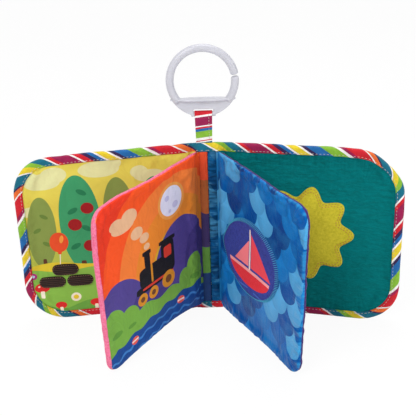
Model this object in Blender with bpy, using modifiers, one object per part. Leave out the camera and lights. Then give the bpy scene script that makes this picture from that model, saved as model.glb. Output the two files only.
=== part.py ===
"""A crinkle cloth book: two padded covers on a narrow spine, two padded crinkle leaves sewn to the
spine, a striped binding, and a plastic clip ring on a ribbon loop.

Metres, +Z up. The book stands on its lower edges, opened towards the reader, who is at -Y.
The origin is on the floor, at the middle of the spine's thickness.
"""

import math

import bmesh
import bpy
from mathutils import Matrix, Vector

# Covers
COVER_HEIGHT = 0.165
COVER_WIDTH = 0.1555
COVER_CORNER = 0.0365
COVER_PAD_MIDDLE = 0.0044
COVER_PAD_EDGE = 0.0016
COVER_CROWN_REACH = 0.040
LEFT_COVER_ANGLE = math.radians(3.5)
RIGHT_COVER_ANGLE = math.radians(12)
LEFT_COVER_FALL = 0.0065
RIGHT_COVER_FALL = 0.0010

# Cloth and seams
CLOTH = 0.0006
SEAM_THICKNESS = 0.0009
GAP = 0.0003
HINGE_EDGE = 0.00048
BINDING_WIDTH = 0.0075
HINGE_SLOPE_SHARE = 0.94

# Spine
SPINE_HALF_WIDTH = 0.012
SPINE_PAD = 0.002
GUTTER_WIDTH = 0.0035

# Leaves
LEAF_WIDTH = 0.129
LEAF_HEIGHT = 0.1515
LEAF_CORNER = 0.014
LEAF_ROOT_WIDTH = 0.006
LEAF_ROOT_FROM_MIDDLE = 0.008
LEAF_PAD_MIDDLE = 0.0044
LEAF_PAD_EDGE = 0.0030
LEAF_CROWN_REACH = 0.030
LEAF_ROLL = 0.0010
FILM = 0.0004
LEFT_LEAF_ANGLE = math.radians(52)
RIGHT_LEAF_ANGLE = math.radians(61)
LEFT_LEAF_DROOP_SHARE = 1
RIGHT_LEAF_DROOP_SHARE = 0.82
LEAF_SPLAY_SHARE = 0.06
LEFT_LEAF_ARCH = 0.007
ARCH_BEND = 0.7

# Sewn patches
PATCH = 0.0016
SUN_RADIUS = 0.040
SUN_RAY = 0.005
SUN_RAYS = 9
SUN_OUT_SHARE = 0.444
SUN_UP_SHARE = 0.500
LOG_LENGTH = 0.024
LOG_WIDTH = 0.0115
LOG_OUT_SHARE = 0.757
LOG_UP_SHARE = 0.235
OVAL_HALF_WIDTH = 0.042
OVAL_HALF_HEIGHT = 0.035
OVAL_OUT_SHARE = 0.400
OVAL_UP_SHARE = 0.476

# Ribbon loop
RIBBON = 0.0008
RIBBON_WIDTH = 0.015
LOOP_LENGTH = 0.0243
LOOP_FROM_MIDDLE = 0.0025

# Clip ring
RING_RADIUS = 0.031
RING_TUBE = 0.0068
RING_LEAN = math.radians(3.5)
PLATE_THICKNESS = 0.0052
PLATE_TOP_DROP = 0.0156
PLATE_ROUND = 0.0012
BAR_RADIUS = 0.0022
SLOT_WIDTH = 0.017
SLOT_HEIGHT = 0.0022
ARM_ROOT_ANGLE = math.radians(203)
ARM_TIP_ANGLE = math.radians(8)
ARM_TIP_GAP = 0.0009
TUBE_OVERLAP_ANGLE = math.radians(8)
CUT_OVERRUN = 0.004

# How many faces each form has
CORNER_STEPS = 5
SIDE_STEPS = 5
COLUMN_SHARES = (0.11, 0.26, 0.46, 0.66, 0.83, 0.94)
SPINE_COLUMN_SHARES = (-1, -0.92, -0.82, -0.72, -0.4, 0.4, 0.72, 0.82, 0.92, 1)
LOOP_STEPS = 12
PATCH_SIDES = 36
PATCH_RINGS = 8
RING_STEPS = 40
TUBE_SIDES = 20
SHARP_ANGLE = math.radians(40)

# Offsets from a cover's middle plane, from its wadding outwards
COVER_INSET = CLOTH + GAP
COVER_EDGE_OUT = COVER_PAD_EDGE / 2 + GAP + CLOTH
BINDING_OUT = COVER_EDGE_OUT + GAP + CLOTH
SPINE_OUT = SPINE_PAD / 2 + GAP + CLOTH
SPINE_BINDING_OUT = SPINE_OUT + GAP + CLOTH
LEAF_HINGE_FRONT = SPINE_OUT + HINGE_EDGE
LEAF_BOTTOM = (COVER_HEIGHT - LEAF_HEIGHT) / 2

# The ribbon loop bends about a line just high enough for its foot to turn clear of the binding.
LOOP_FOOT = RIBBON + GAP / 2
LOOP_RISE = (LOOP_FOOT**2 + GAP**2) / (2 * GAP) + GAP / 2

# At this drop of its outer side a leaf's lower corner rests on the floor.
LEAF_FULL_DROP = LEAF_BOTTOM * LEAF_WIDTH / (LEAF_WIDTH - LEAF_CORNER)

# A cloth that meets its neighbour at a crease starts where both have room on either side of the middle.
FRONT_START = (2 * CLOTH + 2 * GAP) / (2 * HINGE_SLOPE_SHARE)
PAD_START = (CLOTH + 2 * GAP) / HINGE_SLOPE_SHARE + GAP
FILM_START = PAD_START + (FILM + GAP) / HINGE_SLOPE_SHARE

# A page: width out from its crease, height, corner, and the places near the crease where it is full.
COVER_CREASES = (
    COVER_EDGE_OUT / HINGE_SLOPE_SHARE,
    (COVER_PAD_MIDDLE / 2 + GAP + CLOTH) / HINGE_SLOPE_SHARE,
)
LEAF_CREASES = (
    (LEAF_PAD_EDGE / 2 + GAP + CLOTH) / HINGE_SLOPE_SHARE,
    (LEAF_PAD_EDGE / 2 + GAP + FILM + GAP + CLOTH) / HINGE_SLOPE_SHARE,
    (LEAF_PAD_MIDDLE / 2 + GAP + FILM + GAP + CLOTH) / HINGE_SLOPE_SHARE,
)
COVER_PAGE = (COVER_WIDTH, COVER_HEIGHT, COVER_CORNER, COVER_CREASES)
LEAF_PAGE = (LEAF_WIDTH, LEAF_HEIGHT, LEAF_CORNER, LEAF_CREASES)

# Middles of the patches on their pages
SUN_MIDDLE = (SUN_OUT_SHARE * COVER_WIDTH, SUN_UP_SHARE * COVER_HEIGHT)
LOGS_MIDDLE = (LOG_OUT_SHARE * COVER_WIDTH, LOG_UP_SHARE * COVER_HEIGHT)
OVAL_MIDDLE = (OVAL_OUT_SHARE * LEAF_WIDTH, OVAL_UP_SHARE * LEAF_HEIGHT)


def clear_scene():
    for item in list(bpy.data.objects):
        bpy.data.objects.remove(item, do_unlink=True)


def collection_named(name):
    made = bpy.data.collections.new(name)
    bpy.context.scene.collection.children.link(made)
    return made


def material(name, colour, roughness, metallic=0.0):
    made = bpy.data.materials.new(name)
    made.use_nodes = True
    shader = made.node_tree.nodes["Principled BSDF"]
    shader.inputs["Base Color"].default_value = (*colour, 1)
    shader.inputs["Roughness"].default_value = roughness
    shader.inputs["Metallic"].default_value = metallic
    return made


def pivot(name, parent, location, turn=0, lean=0):
    empty = bpy.data.objects.new(name, None)
    empty.parent = parent
    empty.location = location
    empty.rotation_euler = (-lean, 0, turn)
    empty.empty_display_size = BINDING_WIDTH
    BOOK.objects.link(empty)
    return empty


def keep(name, bm, body, finish, smooth=True, hang=None):
    """One piece: its mesh in its body's own frame, with its faces pointing out."""
    if hang:
        for vert in bm.verts:
            vert.co.x, vert.co.z = hang(vert.co.x, vert.co.z)
    bmesh.ops.recalc_face_normals(bm, faces=bm.faces[:])
    if bm.calc_volume(signed=True) < 0:
        bmesh.ops.reverse_faces(bm, faces=bm.faces[:])
    mesh = bpy.data.meshes.new(name)
    bm.to_mesh(mesh)
    bm.free()
    if smooth:
        mesh.shade_smooth()
        mesh.set_sharp_from_angle(angle=SHARP_ANGLE)
    piece = bpy.data.objects.new(name, mesh)
    piece.data.materials.append(finish)
    piece.parent = body
    BOOK.objects.link(piece)
    return piece


# Pages: a grid over a rectangle whose two outer corners are round


def page_rows(page, inset):
    """Heights of the rows and how far out each reaches, round the two outer corners."""
    width, height, corner, _ = page
    corner = corner - inset
    quarter = [math.pi / 2 * step / CORNER_STEPS for step in range(CORNER_STEPS + 1)]
    low = [(inset + corner * (1 - math.cos(a)), width - inset - corner * (1 - math.sin(a))) for a in quarter]
    side = height - 2 * inset - 2 * corner
    middle = [(inset + corner + side * step / SIDE_STEPS, width - inset) for step in range(1, SIDE_STEPS)]
    high = [(height - up, out) for up, out in reversed(low)]
    return low + middle + high


def fall(lost):
    """How a cover hangs: its top edge falls away towards its outer side."""
    return lambda out, up: (out, up * (1 - lost * out / COVER_WIDTH / COVER_HEIGHT))


def droop(share, arch):
    """How a leaf hangs: it sinks towards its outer side, its outer edge swings in below, and its foot arches."""

    def hang(out, up):
        along = max(out, 0) / LEAF_WIDTH
        raised = arch * math.sin(math.pi * along**ARCH_BEND) * (1 - up / LEAF_HEIGHT) ** 2
        return (
            out * (1 + LEAF_SPLAY_SHARE * (up / LEAF_HEIGHT - 1 / 2)),
            up + raised - share * LEAF_FULL_DROP * out / LEAF_WIDTH,
        )

    return hang


def page_columns(page, row, start, reach):
    """How far out a row's points lie. All the layers of a page share those between its two ends."""
    full_reach = page_rows(page, 0)[row][1]
    return [start, *page[3], *(share * full_reach for share in COLUMN_SHARES), reach]


def column_count(page):
    return len(page[3]) + len(COLUMN_SHARES) + 2


def from_edge(page, out, up):
    """Distance from a page's bound edges: its top, bottom and outer side."""
    width, height, corner, _ = page
    side = width - out
    rim = min(up, height - up)
    if side < corner and rim < corner:
        return corner - math.hypot(corner - side, corner - rim)
    return min(side, rim)


def swell(distance, start, reach):
    """0 at the drawn-in edge, rising to 1 where the crown is full."""
    share = min(max((distance - start) / reach, 0), 1)
    return 1 - (1 - share) ** 2


def slab(columns, rows, low, high):
    """A closed body between two grids of points; low and high take a column's and a row's number."""
    bm = bmesh.new()
    wide, tall = columns - 1, rows - 1
    bmesh.ops.create_grid(bm, x_segments=wide, y_segments=tall, size=0.5)
    column = bm.verts.layers.int.new("column")
    row = bm.verts.layers.int.new("row")
    for vert in bm.verts:
        vert[column] = round((vert.co.x + 0.5) * wide)
        vert[row] = round((vert.co.y + 0.5) * tall)
    lower = list(bm.verts)
    made = bmesh.ops.extrude_face_region(bm, geom=bm.faces[:], use_keep_orig=True)["geom"]
    for vert in lower:
        vert.co = low(vert[column], vert[row])
    for vert in made:
        if isinstance(vert, bmesh.types.BMVert):
            vert.co = high(vert[column], vert[row])
    return bm


def page_layer(name, page, side, body, finish, inset, start, low, high, hang):
    """A cloth or a wadding of one page, from the crease at start to the outline less its inset."""
    rows = page_rows(page, inset)

    def place(height):
        def point(i, j):
            up, reach = rows[j]
            out = page_columns(page, j, start, reach)[i]
            return Vector((out, side * height(from_edge(page, out, up), out), up))

        return point

    bm = slab(column_count(page), len(rows), place(low), place(high))
    return keep(name, bm, body, finish, hang=hang)


def at_crease(offset):
    """An offset from the middle plane, drawn in towards the crease so that the page can turn."""
    return lambda edge, out: min(offset(edge), HINGE_SLOPE_SHARE * out)


def offsets(outer, thickness, towards=1):
    """The two faces of a cloth whose outer face lies at an offset, on the reader's side or behind."""
    face = at_crease(outer)
    return (
        lambda edge, out: towards * (face(edge, out) - thickness),
        lambda edge, out: towards * face(edge, out),
    )


# Covers


def cover_pad_half(edge):
    grown = swell(edge, BINDING_WIDTH, COVER_CROWN_REACH)
    return (COVER_PAD_EDGE + (COVER_PAD_MIDDLE - COVER_PAD_EDGE) * grown) / 2


def cover_face(edge):
    return cover_pad_half(edge) + GAP + CLOTH


def cover_cloths(hand, side, body, page_finish, back_finish, wadding, hang):
    page_layer(
        f"{hand}_cover_page", COVER_PAGE, side, body, page_finish, COVER_INSET, FRONT_START,
        *offsets(cover_face, CLOTH), hang,
    )
    page_layer(
        f"{hand}_cover_back", COVER_PAGE, side, body, back_finish, COVER_INSET, HINGE_EDGE,
        *offsets(cover_face, CLOTH, -1), hang,
    )

    def pad(edge, out):
        return min(cover_pad_half(edge), HINGE_SLOPE_SHARE * out - CLOTH - GAP)

    page_layer(
        f"{hand}_cover_wadding", COVER_PAGE, side, body, wadding, COVER_INSET + CLOTH, PAD_START,
        lambda edge, out: -pad(edge, out), pad, hang,
    )


def binding_path(page, start):
    """Out along the bottom, round the corners and back along the top: place and inward direction."""
    width, height, corner, _ = page
    points = [((start, 0), (0, 1))]
    for centre_up, first in ((corner, -90), (height - corner, 0)):
        for step in range(CORNER_STEPS * 2 + 1):
            angle = math.radians(first + 90 * step / (CORNER_STEPS * 2))
            out = (math.cos(angle), math.sin(angle))
            place = (width - corner + corner * out[0], centre_up + corner * out[1])
            points.append((place, (-out[0], -out[1])))
    points.append(((start, height), (0, -1)))
    return points


def binding_section(half_out):
    """The binding's U: depth in from the edge, and offset from the middle plane."""
    inner = half_out - CLOTH
    return [
        (0, -half_out), (0, half_out), (BINDING_WIDTH, half_out), (BINDING_WIDTH, inner),
        (CLOTH, inner), (CLOTH, -inner), (BINDING_WIDTH, -inner), (BINDING_WIDTH, -half_out),
    ]


def swept(path, section, side):
    """A closed body: the section at each place of the path, laid inwards, with its ends capped."""
    bm = bmesh.new()
    sections = []
    for (out, up), (inward_out, inward_up) in path:
        sections.append([
            bm.verts.new((out + inward_out * depth, side * offset, up + inward_up * depth))
            for depth, offset in section
        ])
    for one, two in zip(sections, sections[1:]):
        for k in range(len(section)):
            after = (k + 1) % len(section)
            bm.faces.new((one[k], one[after], two[after], two[k]))
    bm.faces.new(sections[0])
    bm.faces.new(reversed(sections[-1]))
    return bm


def cover_binding(hand, side, body, finish, hang):
    start = BINDING_OUT / HINGE_SLOPE_SHARE
    bm = swept(binding_path(COVER_PAGE, start), binding_section(BINDING_OUT), side)
    keep(f"{hand}_cover_binding", bm, body, finish, smooth=False, hang=hang)


# Strips of cloth sewn flat between two creases


def strip(name, body, finish, start, end, bottom, top, half):
    bm = bmesh.new()
    bmesh.ops.create_cube(bm, size=1)
    for vert in bm.verts:
        vert.co.x = start + (end - start) * (vert.co.x + 0.5)
        vert.co.y = 2 * half * vert.co.y
        vert.co.z = bottom + (top - bottom) * (vert.co.z + 0.5)
    return keep(name, bm, body, finish, smooth=False)


# Sewn patches: the upper half of a ball, flattened, on its page


def patch(name, side, body, finish, centre, outline, ground, hang):
    """outline gives the patch's reach in a direction; ground gives the page's face under a place."""
    bm = bmesh.new()
    bmesh.ops.create_uvsphere(bm, u_segments=PATCH_SIDES, v_segments=PATCH_RINGS, radius=1)
    equator = round(PATCH_RINGS / 2)
    for vert in bm.verts:
        ring = round(math.acos(max(-1, min(1, vert.co.z))) * PATCH_RINGS / math.pi)
        share = math.hypot(vert.co.x, vert.co.y)
        turn = math.atan2(vert.co.y, vert.co.x)
        reach_out, reach_up = outline(turn)
        out = centre[0] + reach_out * share
        up = centre[1] + reach_up * share
        lift = GAP if ring > equator else GAP + PATCH * (1 + max(vert.co.z, 0)) / 2
        vert.co = (out, side * (ground(out, up) + lift), up)
    return keep(name, bm, body, finish, hang=hang)


def sun_outline(turn):
    radius = SUN_RADIUS + SUN_RAY * math.cos(SUN_RAYS * turn)
    return radius * math.cos(turn), radius * math.sin(turn)


def oval_outline(turn):
    return OVAL_HALF_WIDTH * math.cos(turn), OVAL_HALF_HEIGHT * math.sin(turn)


def log_outline(turn):
    """A bar with half-round ends."""
    radius = LOG_WIDTH / 2
    run = LOG_LENGTH / 2 - radius
    along = max(-1, min(1, math.cos(turn) * LOG_LENGTH / LOG_WIDTH))
    return along * run + radius * math.cos(turn), radius * math.sin(turn)


def cover_ground(out, up):
    return cover_face(from_edge(COVER_PAGE, out, up))


def log_pile(side, body, finish, hang):
    """Two ribbed logs on the ground and one on top of them."""
    step = LOG_LENGTH / 2 + GAP * 2
    rise = LOG_WIDTH + GAP * 2
    for number, (along, up) in enumerate(((-1, 0), (1, 0), (0, 1)), start=1):
        centre = (LOGS_MIDDLE[0] + along * step, LOGS_MIDDLE[1] + up * rise)
        patch(f"corduroy_log_{number}", side, body, finish, centre, log_outline, cover_ground, hang)


# Leaves


def leaf_pad_half(edge):
    grown = swell(edge, 0, LEAF_CROWN_REACH)
    return (LEAF_PAD_EDGE + (LEAF_PAD_MIDDLE - LEAF_PAD_EDGE) * grown) / 2


def leaf_front(edge):
    return leaf_pad_half(edge) + GAP + FILM + GAP + CLOTH


def leaf_back(edge):
    return leaf_pad_half(edge) + GAP + CLOTH


def leaf_back_cloth(name, side, body, finish, hang):
    """The back cloth of a leaf, rolled round its three free edges towards the reader."""
    rows = page_rows(LEAF_PAGE, 0)
    rolls = (LEAF_ROLL, 0, LEAF_ROLL)
    extra = len(rolls) - 1
    rim = leaf_front(0)
    tall = len(rows) + 2 * extra
    wide = column_count(LEAF_PAGE) + extra

    def place(thickness):
        def point(i, j):
            ring = min(j, tall - 1 - j, wide - 1 - i)
            inset = rolls[min(ring, extra)] + thickness
            row = min(max(j - extra, 0), len(rows) - 1)
            up, reach = page_rows(LEAF_PAGE, inset)[row]
            columns = page_columns(LEAF_PAGE, row, HINGE_EDGE, reach)
            out = columns[min(i, len(columns) - 1)]
            behind = at_crease(leaf_back)(from_edge(LEAF_PAGE, out, up), out) - thickness
            room = HINGE_SLOPE_SHARE * out
            height = (min(rim, room), (min(rim, room) - behind) / 2, -behind)[min(ring, extra)]
            return Vector((out, side * height, up))

        return point

    return keep(name, slab(wide, tall, place(0), place(CLOTH)), body, finish, hang=hang)


def leaf(hand, side, body, front_finish, back_finish, film_finish, wadding, hang):
    inset = LEAF_ROLL + CLOTH + GAP
    page_layer(
        f"{hand}_leaf_front", LEAF_PAGE, side, body, front_finish, inset, FRONT_START,
        *offsets(leaf_front, CLOTH), hang,
    )
    leaf_back_cloth(f"{hand}_leaf_back", side, body, back_finish, hang)

    def film_face(edge, out):
        return min(leaf_front(edge), HINGE_SLOPE_SHARE * out) - CLOTH - GAP

    page_layer(
        f"{hand}_leaf_crinkle_film", LEAF_PAGE, side, body, film_finish, inset + CLOTH, FILM_START,
        lambda edge, out: film_face(edge, out) - FILM, film_face, hang,
    )

    def pad_front(edge, out):
        return min(leaf_pad_half(edge), HINGE_SLOPE_SHARE * out - CLOTH - GAP - FILM - GAP)

    def pad_back(edge, out):
        return -min(leaf_pad_half(edge), HINGE_SLOPE_SHARE * out - CLOTH - GAP)

    page_layer(
        f"{hand}_leaf_wadding", LEAF_PAGE, side, body, wadding, inset + CLOTH, FILM_START,
        pad_back, pad_front, hang,
    )


# Spine


def spine_panel(body, finish):
    """The spine's outer cloth, drawn in to the middle plane at both creases."""
    reach = SPINE_HALF_WIDTH - HINGE_EDGE

    def place(thickness):
        def point(i, j):
            across = SPINE_COLUMN_SHARES[i] * reach
            crease = SPINE_HALF_WIDTH - abs(across)
            behind = min(SPINE_OUT, HINGE_SLOPE_SHARE * crease) - thickness
            return Vector((across, behind, COVER_INSET + (COVER_HEIGHT - 2 * COVER_INSET) * j))

        return point

    keep("spine_back", slab(len(SPINE_COLUMN_SHARES), 2, place(0), place(CLOTH)), body, finish)


def spine_binding(name, body, finish, edge, inward):
    reach = SPINE_HALF_WIDTH - SPINE_BINDING_OUT / HINGE_SLOPE_SHARE
    path = [((-reach, edge), (0, inward)), ((reach, edge), (0, inward))]
    bm = swept(path, binding_section(SPINE_BINDING_OUT), -1)
    keep(name, bm, body, finish, smooth=False)


def spine(body, finishes):
    spine_panel(body, finishes["back"])
    bottom, top = COVER_INSET, COVER_HEIGHT - COVER_INSET
    pad_reach = LEAF_ROOT_FROM_MIDDLE
    strip("spine_wadding", body, finishes["wadding"], -pad_reach, pad_reach, bottom, top, SPINE_PAD / 2)
    reach = LEAF_ROOT_FROM_MIDDLE - HINGE_EDGE
    middle = -(SPINE_OUT - CLOTH / 2)
    for name, start, end, finish in (
        ("centre_band_orange", -reach, -GAP / 2, finishes["orange"]),
        ("centre_band_blue", GAP / 2, reach, finishes["blue"]),
    ):
        band = strip(name, body, finish, start, end, bottom, top, CLOTH / 2)
        band.location.y = middle
    spine_binding("spine_binding_bottom", body, finishes["binding"], 0, 1)
    spine_binding("spine_binding_top", body, finishes["binding"], COVER_HEIGHT, -1)


# Ribbon loop: one ribbon folded over the ring's bar


def hanging_loop(body, finish):
    bend = BAR_RADIUS + GAP + RIBBON / 2
    foot = LOOP_FOOT - RIBBON / 2
    start = GAP - LOOP_RISE
    reach = math.hypot(LOOP_LENGTH - start, foot)
    tilt = math.asin((bend - foot) / reach)
    turns = [-tilt + (math.pi + 2 * tilt) * step / LOOP_STEPS for step in range(LOOP_STEPS + 1)]
    over = [(-bend * math.cos(a), LOOP_LENGTH + bend * math.sin(a)) for a in turns]
    path = [(-foot, start), *over, (foot, start)]
    bm = bmesh.new()
    verts = [bm.verts.new((-RIBBON_WIDTH / 2, y, z)) for y, z in path]
    edges = [bm.edges.new(pair) for pair in zip(verts, verts[1:])]
    made = bmesh.ops.extrude_edge_only(bm, edges=edges)["geom"]
    moved = [vert for vert in made if isinstance(vert, bmesh.types.BMVert)]
    bmesh.ops.translate(bm, verts=moved, vec=(RIBBON_WIDTH, 0, 0))
    piece = keep("hanging_loop", bm, body, finish)
    wall = piece.modifiers.new("ribbon thickness", "SOLIDIFY")
    wall.thickness = RIBBON
    wall.offset = 0
    wall.use_even_offset = True


# Clip ring: a plate with a slot, and an arc whose free end springs open

RING_CENTRE_UP = RING_RADIUS - BAR_RADIUS
TUBE_PATH_RADIUS = RING_RADIUS - RING_TUBE / 2
PLATE_ANGLE = math.asin((PLATE_TOP_DROP + PLATE_ROUND) / (RING_RADIUS - PLATE_ROUND))


def on_ring(angle, radius):
    return Vector((radius * math.cos(angle), 0, RING_CENTRE_UP + radius * math.sin(angle)))


def arc(name, body, first, last):
    """A bent round bar with a flat face across each end."""
    steps = max(2, round(RING_STEPS * abs(last - first) / math.tau))
    path = []
    for step in range(steps + 1):
        angle = first + (last - first) * step / steps
        place = on_ring(angle, RING_RADIUS)
        path.append(((place.x, place.z), (-math.cos(angle), -math.sin(angle))))
    turns = [math.tau * side / TUBE_SIDES for side in range(TUBE_SIDES)]
    section = [(RING_TUBE / 2 * (1 - math.cos(turn)), RING_TUBE / 2 * math.sin(turn)) for turn in turns]
    return mesh_item(name, swept(path, section, 1), body)


def mesh_item(name, bm, body):
    """An object for the ring, before its parts are joined."""
    bmesh.ops.recalc_face_normals(bm, faces=bm.faces[:])
    mesh = bpy.data.meshes.new(name)
    bm.to_mesh(mesh)
    bm.free()
    item = bpy.data.objects.new(name, mesh)
    item.parent = body
    return item


def plate_blank(body):
    """The plate: the ring's round below a straight top edge."""
    curve = bpy.data.curves.new("plate outline", "CURVE")
    curve.dimensions = "2D"
    curve.fill_mode = "BOTH"
    curve.extrude = PLATE_THICKNESS / 2 - PLATE_ROUND
    curve.bevel_depth = PLATE_ROUND
    curve.bevel_resolution = 2
    steps = RING_STEPS // 2
    first, last = math.pi + PLATE_ANGLE, math.tau - PLATE_ANGLE
    spline = curve.splines.new("POLY")
    spline.points.add(steps)
    spline.use_cyclic_u = True
    for number, point in enumerate(spline.points):
        place = on_ring(first + (last - first) * number / steps, RING_RADIUS - PLATE_ROUND)
        point.co = (place.x, place.z, 0, 1)
    outline = bpy.data.objects.new("plate outline", curve)
    bm = bmesh.new()
    bm.from_mesh(outline.to_mesh())
    bpy.data.objects.remove(outline, do_unlink=True)
    bmesh.ops.remove_doubles(bm, verts=bm.verts[:], dist=GAP / 10)
    bmesh.ops.rotate(bm, verts=bm.verts[:], matrix=Matrix.Rotation(math.pi / 2, 3, "X"))
    return mesh_item("ring_base", bm, body)


def bar_blank(body, radius, length):
    bm = bmesh.new()
    bmesh.ops.create_cone(
        bm, cap_ends=True, segments=TUBE_SIDES, radius1=radius, radius2=radius, depth=length
    )
    bmesh.ops.rotate(bm, verts=bm.verts[:], matrix=Matrix.Rotation(math.pi / 2, 3, "Y"))
    return mesh_item("ring_bar", bm, body)


def slot_blank(body):
    """Takes the ribbon's slot and the rim under it out of the plate; the round bar then fills the rim."""
    bm = bmesh.new()
    bmesh.ops.create_cube(bm, size=1)
    low, high = -BAR_RADIUS - CUT_OVERRUN, BAR_RADIUS + SLOT_HEIGHT
    for vert in bm.verts:
        vert.co.x *= SLOT_WIDTH
        vert.co.y *= PLATE_THICKNESS + 2 * CUT_OVERRUN
        vert.co.z = low + (high - low) * (vert.co.z + 0.5)
    return mesh_item("slot", bm, body)


def combine(target, tool, operation):
    CUTTERS.objects.link(tool)
    tool.hide_render = True
    tool.display_type = "WIRE"
    step = target.modifiers.new(tool.name, "BOOLEAN")
    step.operation = operation
    step.solver = "EXACT"
    step.object = tool


def ring(body, arm_body, finish):
    base = plate_blank(body)
    combine(base, slot_blank(body), "DIFFERENCE")
    bar_length = SLOT_WIDTH + 2 * PLATE_ROUND
    combine(base, bar_blank(body, BAR_RADIUS, bar_length), "UNION")
    inside_right = -PLATE_ANGLE - TUBE_OVERLAP_ANGLE
    inside_left = math.pi + PLATE_ANGLE + TUBE_OVERLAP_ANGLE
    root_half = GAP / 2 / TUBE_PATH_RADIUS
    tip_half = ARM_TIP_GAP / 2 / TUBE_PATH_RADIUS
    combine(base, arc("ring_stub", body, inside_right, ARM_TIP_ANGLE - tip_half), "UNION")
    combine(base, arc("ring_root", body, ARM_ROOT_ANGLE + root_half, inside_left), "UNION")
    base.data.materials.append(finish)
    BOOK.objects.link(base)

    arm = arc("ring_arm", body, ARM_TIP_ANGLE + tip_half, ARM_ROOT_ANGLE - root_half)
    hinge = on_ring(ARM_ROOT_ANGLE, RING_RADIUS)
    for vert in arm.data.vertices:
        vert.co -= hinge
    arm.parent = arm_body
    arm.data.materials.append(finish)
    BOOK.objects.link(arm)
    for item in (base, arm):
        item.data.shade_smooth()
        item.data.set_sharp_from_angle(angle=SHARP_ANGLE)


clear_scene()
BOOK = collection_named("crinkle_cloth_book")
CUTTERS = collection_named("cutters")
CUTTERS.hide_render = True

SUNNY_PRINT = material("sunny print", (0.72, 0.60, 0.10), 0.85)
SUNSET_PRINT = material("sunset print", (0.85, 0.16, 0.04), 0.80)
SCALE_SATIN = material("blue scale satin", (0.02, 0.16, 0.48), 0.40)
TEAL_FLEECE = material("teal fleece", (0.0, 0.17, 0.16), 0.95)
PINK_CLOTH = material("pink cloth", (0.85, 0.16, 0.25), 0.85)
PURPLE_CLOTH = material("purple cloth", (0.11, 0.04, 0.18), 0.80)
COVER_CLOTH = material("cover cloth", (0.02, 0.20, 0.45), 0.85)
STRIPED_BINDING = material("striped binding", (0.60, 0.05, 0.08), 0.80)
ORANGE_CLOTH = material("orange cloth", (0.60, 0.08, 0.02), 0.80)
SPINE_CLOTH = material("spine cloth", (0.02, 0.20, 0.45), 0.85)
WADDING = material("wadding", (0.85, 0.85, 0.83), 1.0)
CRINKLE_FILM = material("crinkle film", (0.75, 0.77, 0.80), 0.25)
CORDUROY = material("brown corduroy", (0.035, 0.022, 0.018), 0.95)
YELLOW_FELT = material("yellow felt", (0.50, 0.45, 0.03), 0.90)
INDIGO_FELT = material("indigo felt", (0.025, 0.05, 0.30), 0.85)
RIBBON_CLOTH = material("striped ribbon", (0.55, 0.06, 0.12), 0.75)
RING_PLASTIC = material("white plastic", (0.72, 0.72, 0.80), 0.35)

# Bodies, each on its own crease or pivot
SPINE_BODY = pivot("spine_frame", None, (0, 0, 0))
spine(
    SPINE_BODY,
    {
        "back": SPINE_CLOTH,
        "wadding": WADDING,
        "orange": ORANGE_CLOTH,
        "blue": SCALE_SATIN,
        "binding": STRIPED_BINDING,
    },
)

for hand, outward, cover_angle, leaf_angle, cover_hang, leaf_hang in (
    (
        "left", -1, LEFT_COVER_ANGLE, LEFT_LEAF_ANGLE,
        fall(LEFT_COVER_FALL), droop(LEFT_LEAF_DROOP_SHARE, LEFT_LEAF_ARCH),
    ),
    (
        "right", 1, RIGHT_COVER_ANGLE, RIGHT_LEAF_ANGLE,
        fall(RIGHT_COVER_FALL), droop(RIGHT_LEAF_DROOP_SHARE, 0),
    ),
):
    # The local X of a body points outwards; the reader is on its +Y side on the left, -Y on the right.
    reader = -outward
    base_turn = math.pi if outward < 0 else 0
    cover_turn = base_turn - outward * cover_angle
    leaf_turn = base_turn - outward * leaf_angle
    gutter_place = (outward * SPINE_HALF_WIDTH, 0, 0)
    gutter = pivot(f"{hand}_gutter_crease", None, gutter_place, cover_turn)
    cover = pivot(f"{hand}_cover_crease", gutter, (GUTTER_WIDTH, 0, 0))
    root_place = (outward * LEAF_ROOT_FROM_MIDDLE, -LEAF_HINGE_FRONT, 0)
    leaf_root = pivot(f"{hand}_leaf_root_crease", None, root_place, leaf_turn)
    leaf_body = pivot(f"{hand}_leaf_crease", leaf_root, (LEAF_ROOT_WIDTH, 0, LEAF_BOTTOM))

    back_finish = SPINE_CLOTH
    strip(
        f"{hand}_gutter", gutter, back_finish, HINGE_EDGE, GUTTER_WIDTH - HINGE_EDGE,
        COVER_INSET, COVER_HEIGHT - COVER_INSET, SEAM_THICKNESS / 2,
    )
    page_finish = SUNNY_PRINT if outward < 0 else TEAL_FLEECE
    cover_cloths(hand, reader, cover, page_finish, COVER_CLOTH, WADDING, cover_hang)
    cover_binding(hand, reader, cover, STRIPED_BINDING, cover_hang)

    root_edge = BINDING_WIDTH + GAP
    leaf_front_finish = SUNSET_PRINT if outward < 0 else SCALE_SATIN
    leaf_back_finish = PINK_CLOTH if outward < 0 else PURPLE_CLOTH
    strip(
        f"{hand}_leaf_root", leaf_root, leaf_front_finish, HINGE_EDGE, LEAF_ROOT_WIDTH - HINGE_EDGE,
        root_edge, COVER_HEIGHT - root_edge, SEAM_THICKNESS / 2,
    )
    leaf(hand, reader, leaf_body, leaf_front_finish, leaf_back_finish, CRINKLE_FILM, WADDING, leaf_hang)

    if outward < 0:
        log_pile(reader, cover, CORDUROY, cover_hang)
    else:
        patch(
            "sun_patch", reader, cover, YELLOW_FELT, SUN_MIDDLE, sun_outline, cover_ground, cover_hang
        )
        patch(
            "oval_patch", reader, leaf_body, INDIGO_FELT, OVAL_MIDDLE, oval_outline,
            lambda out, up: leaf_front(from_edge(LEAF_PAGE, out, up)), leaf_hang,
        )

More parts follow.
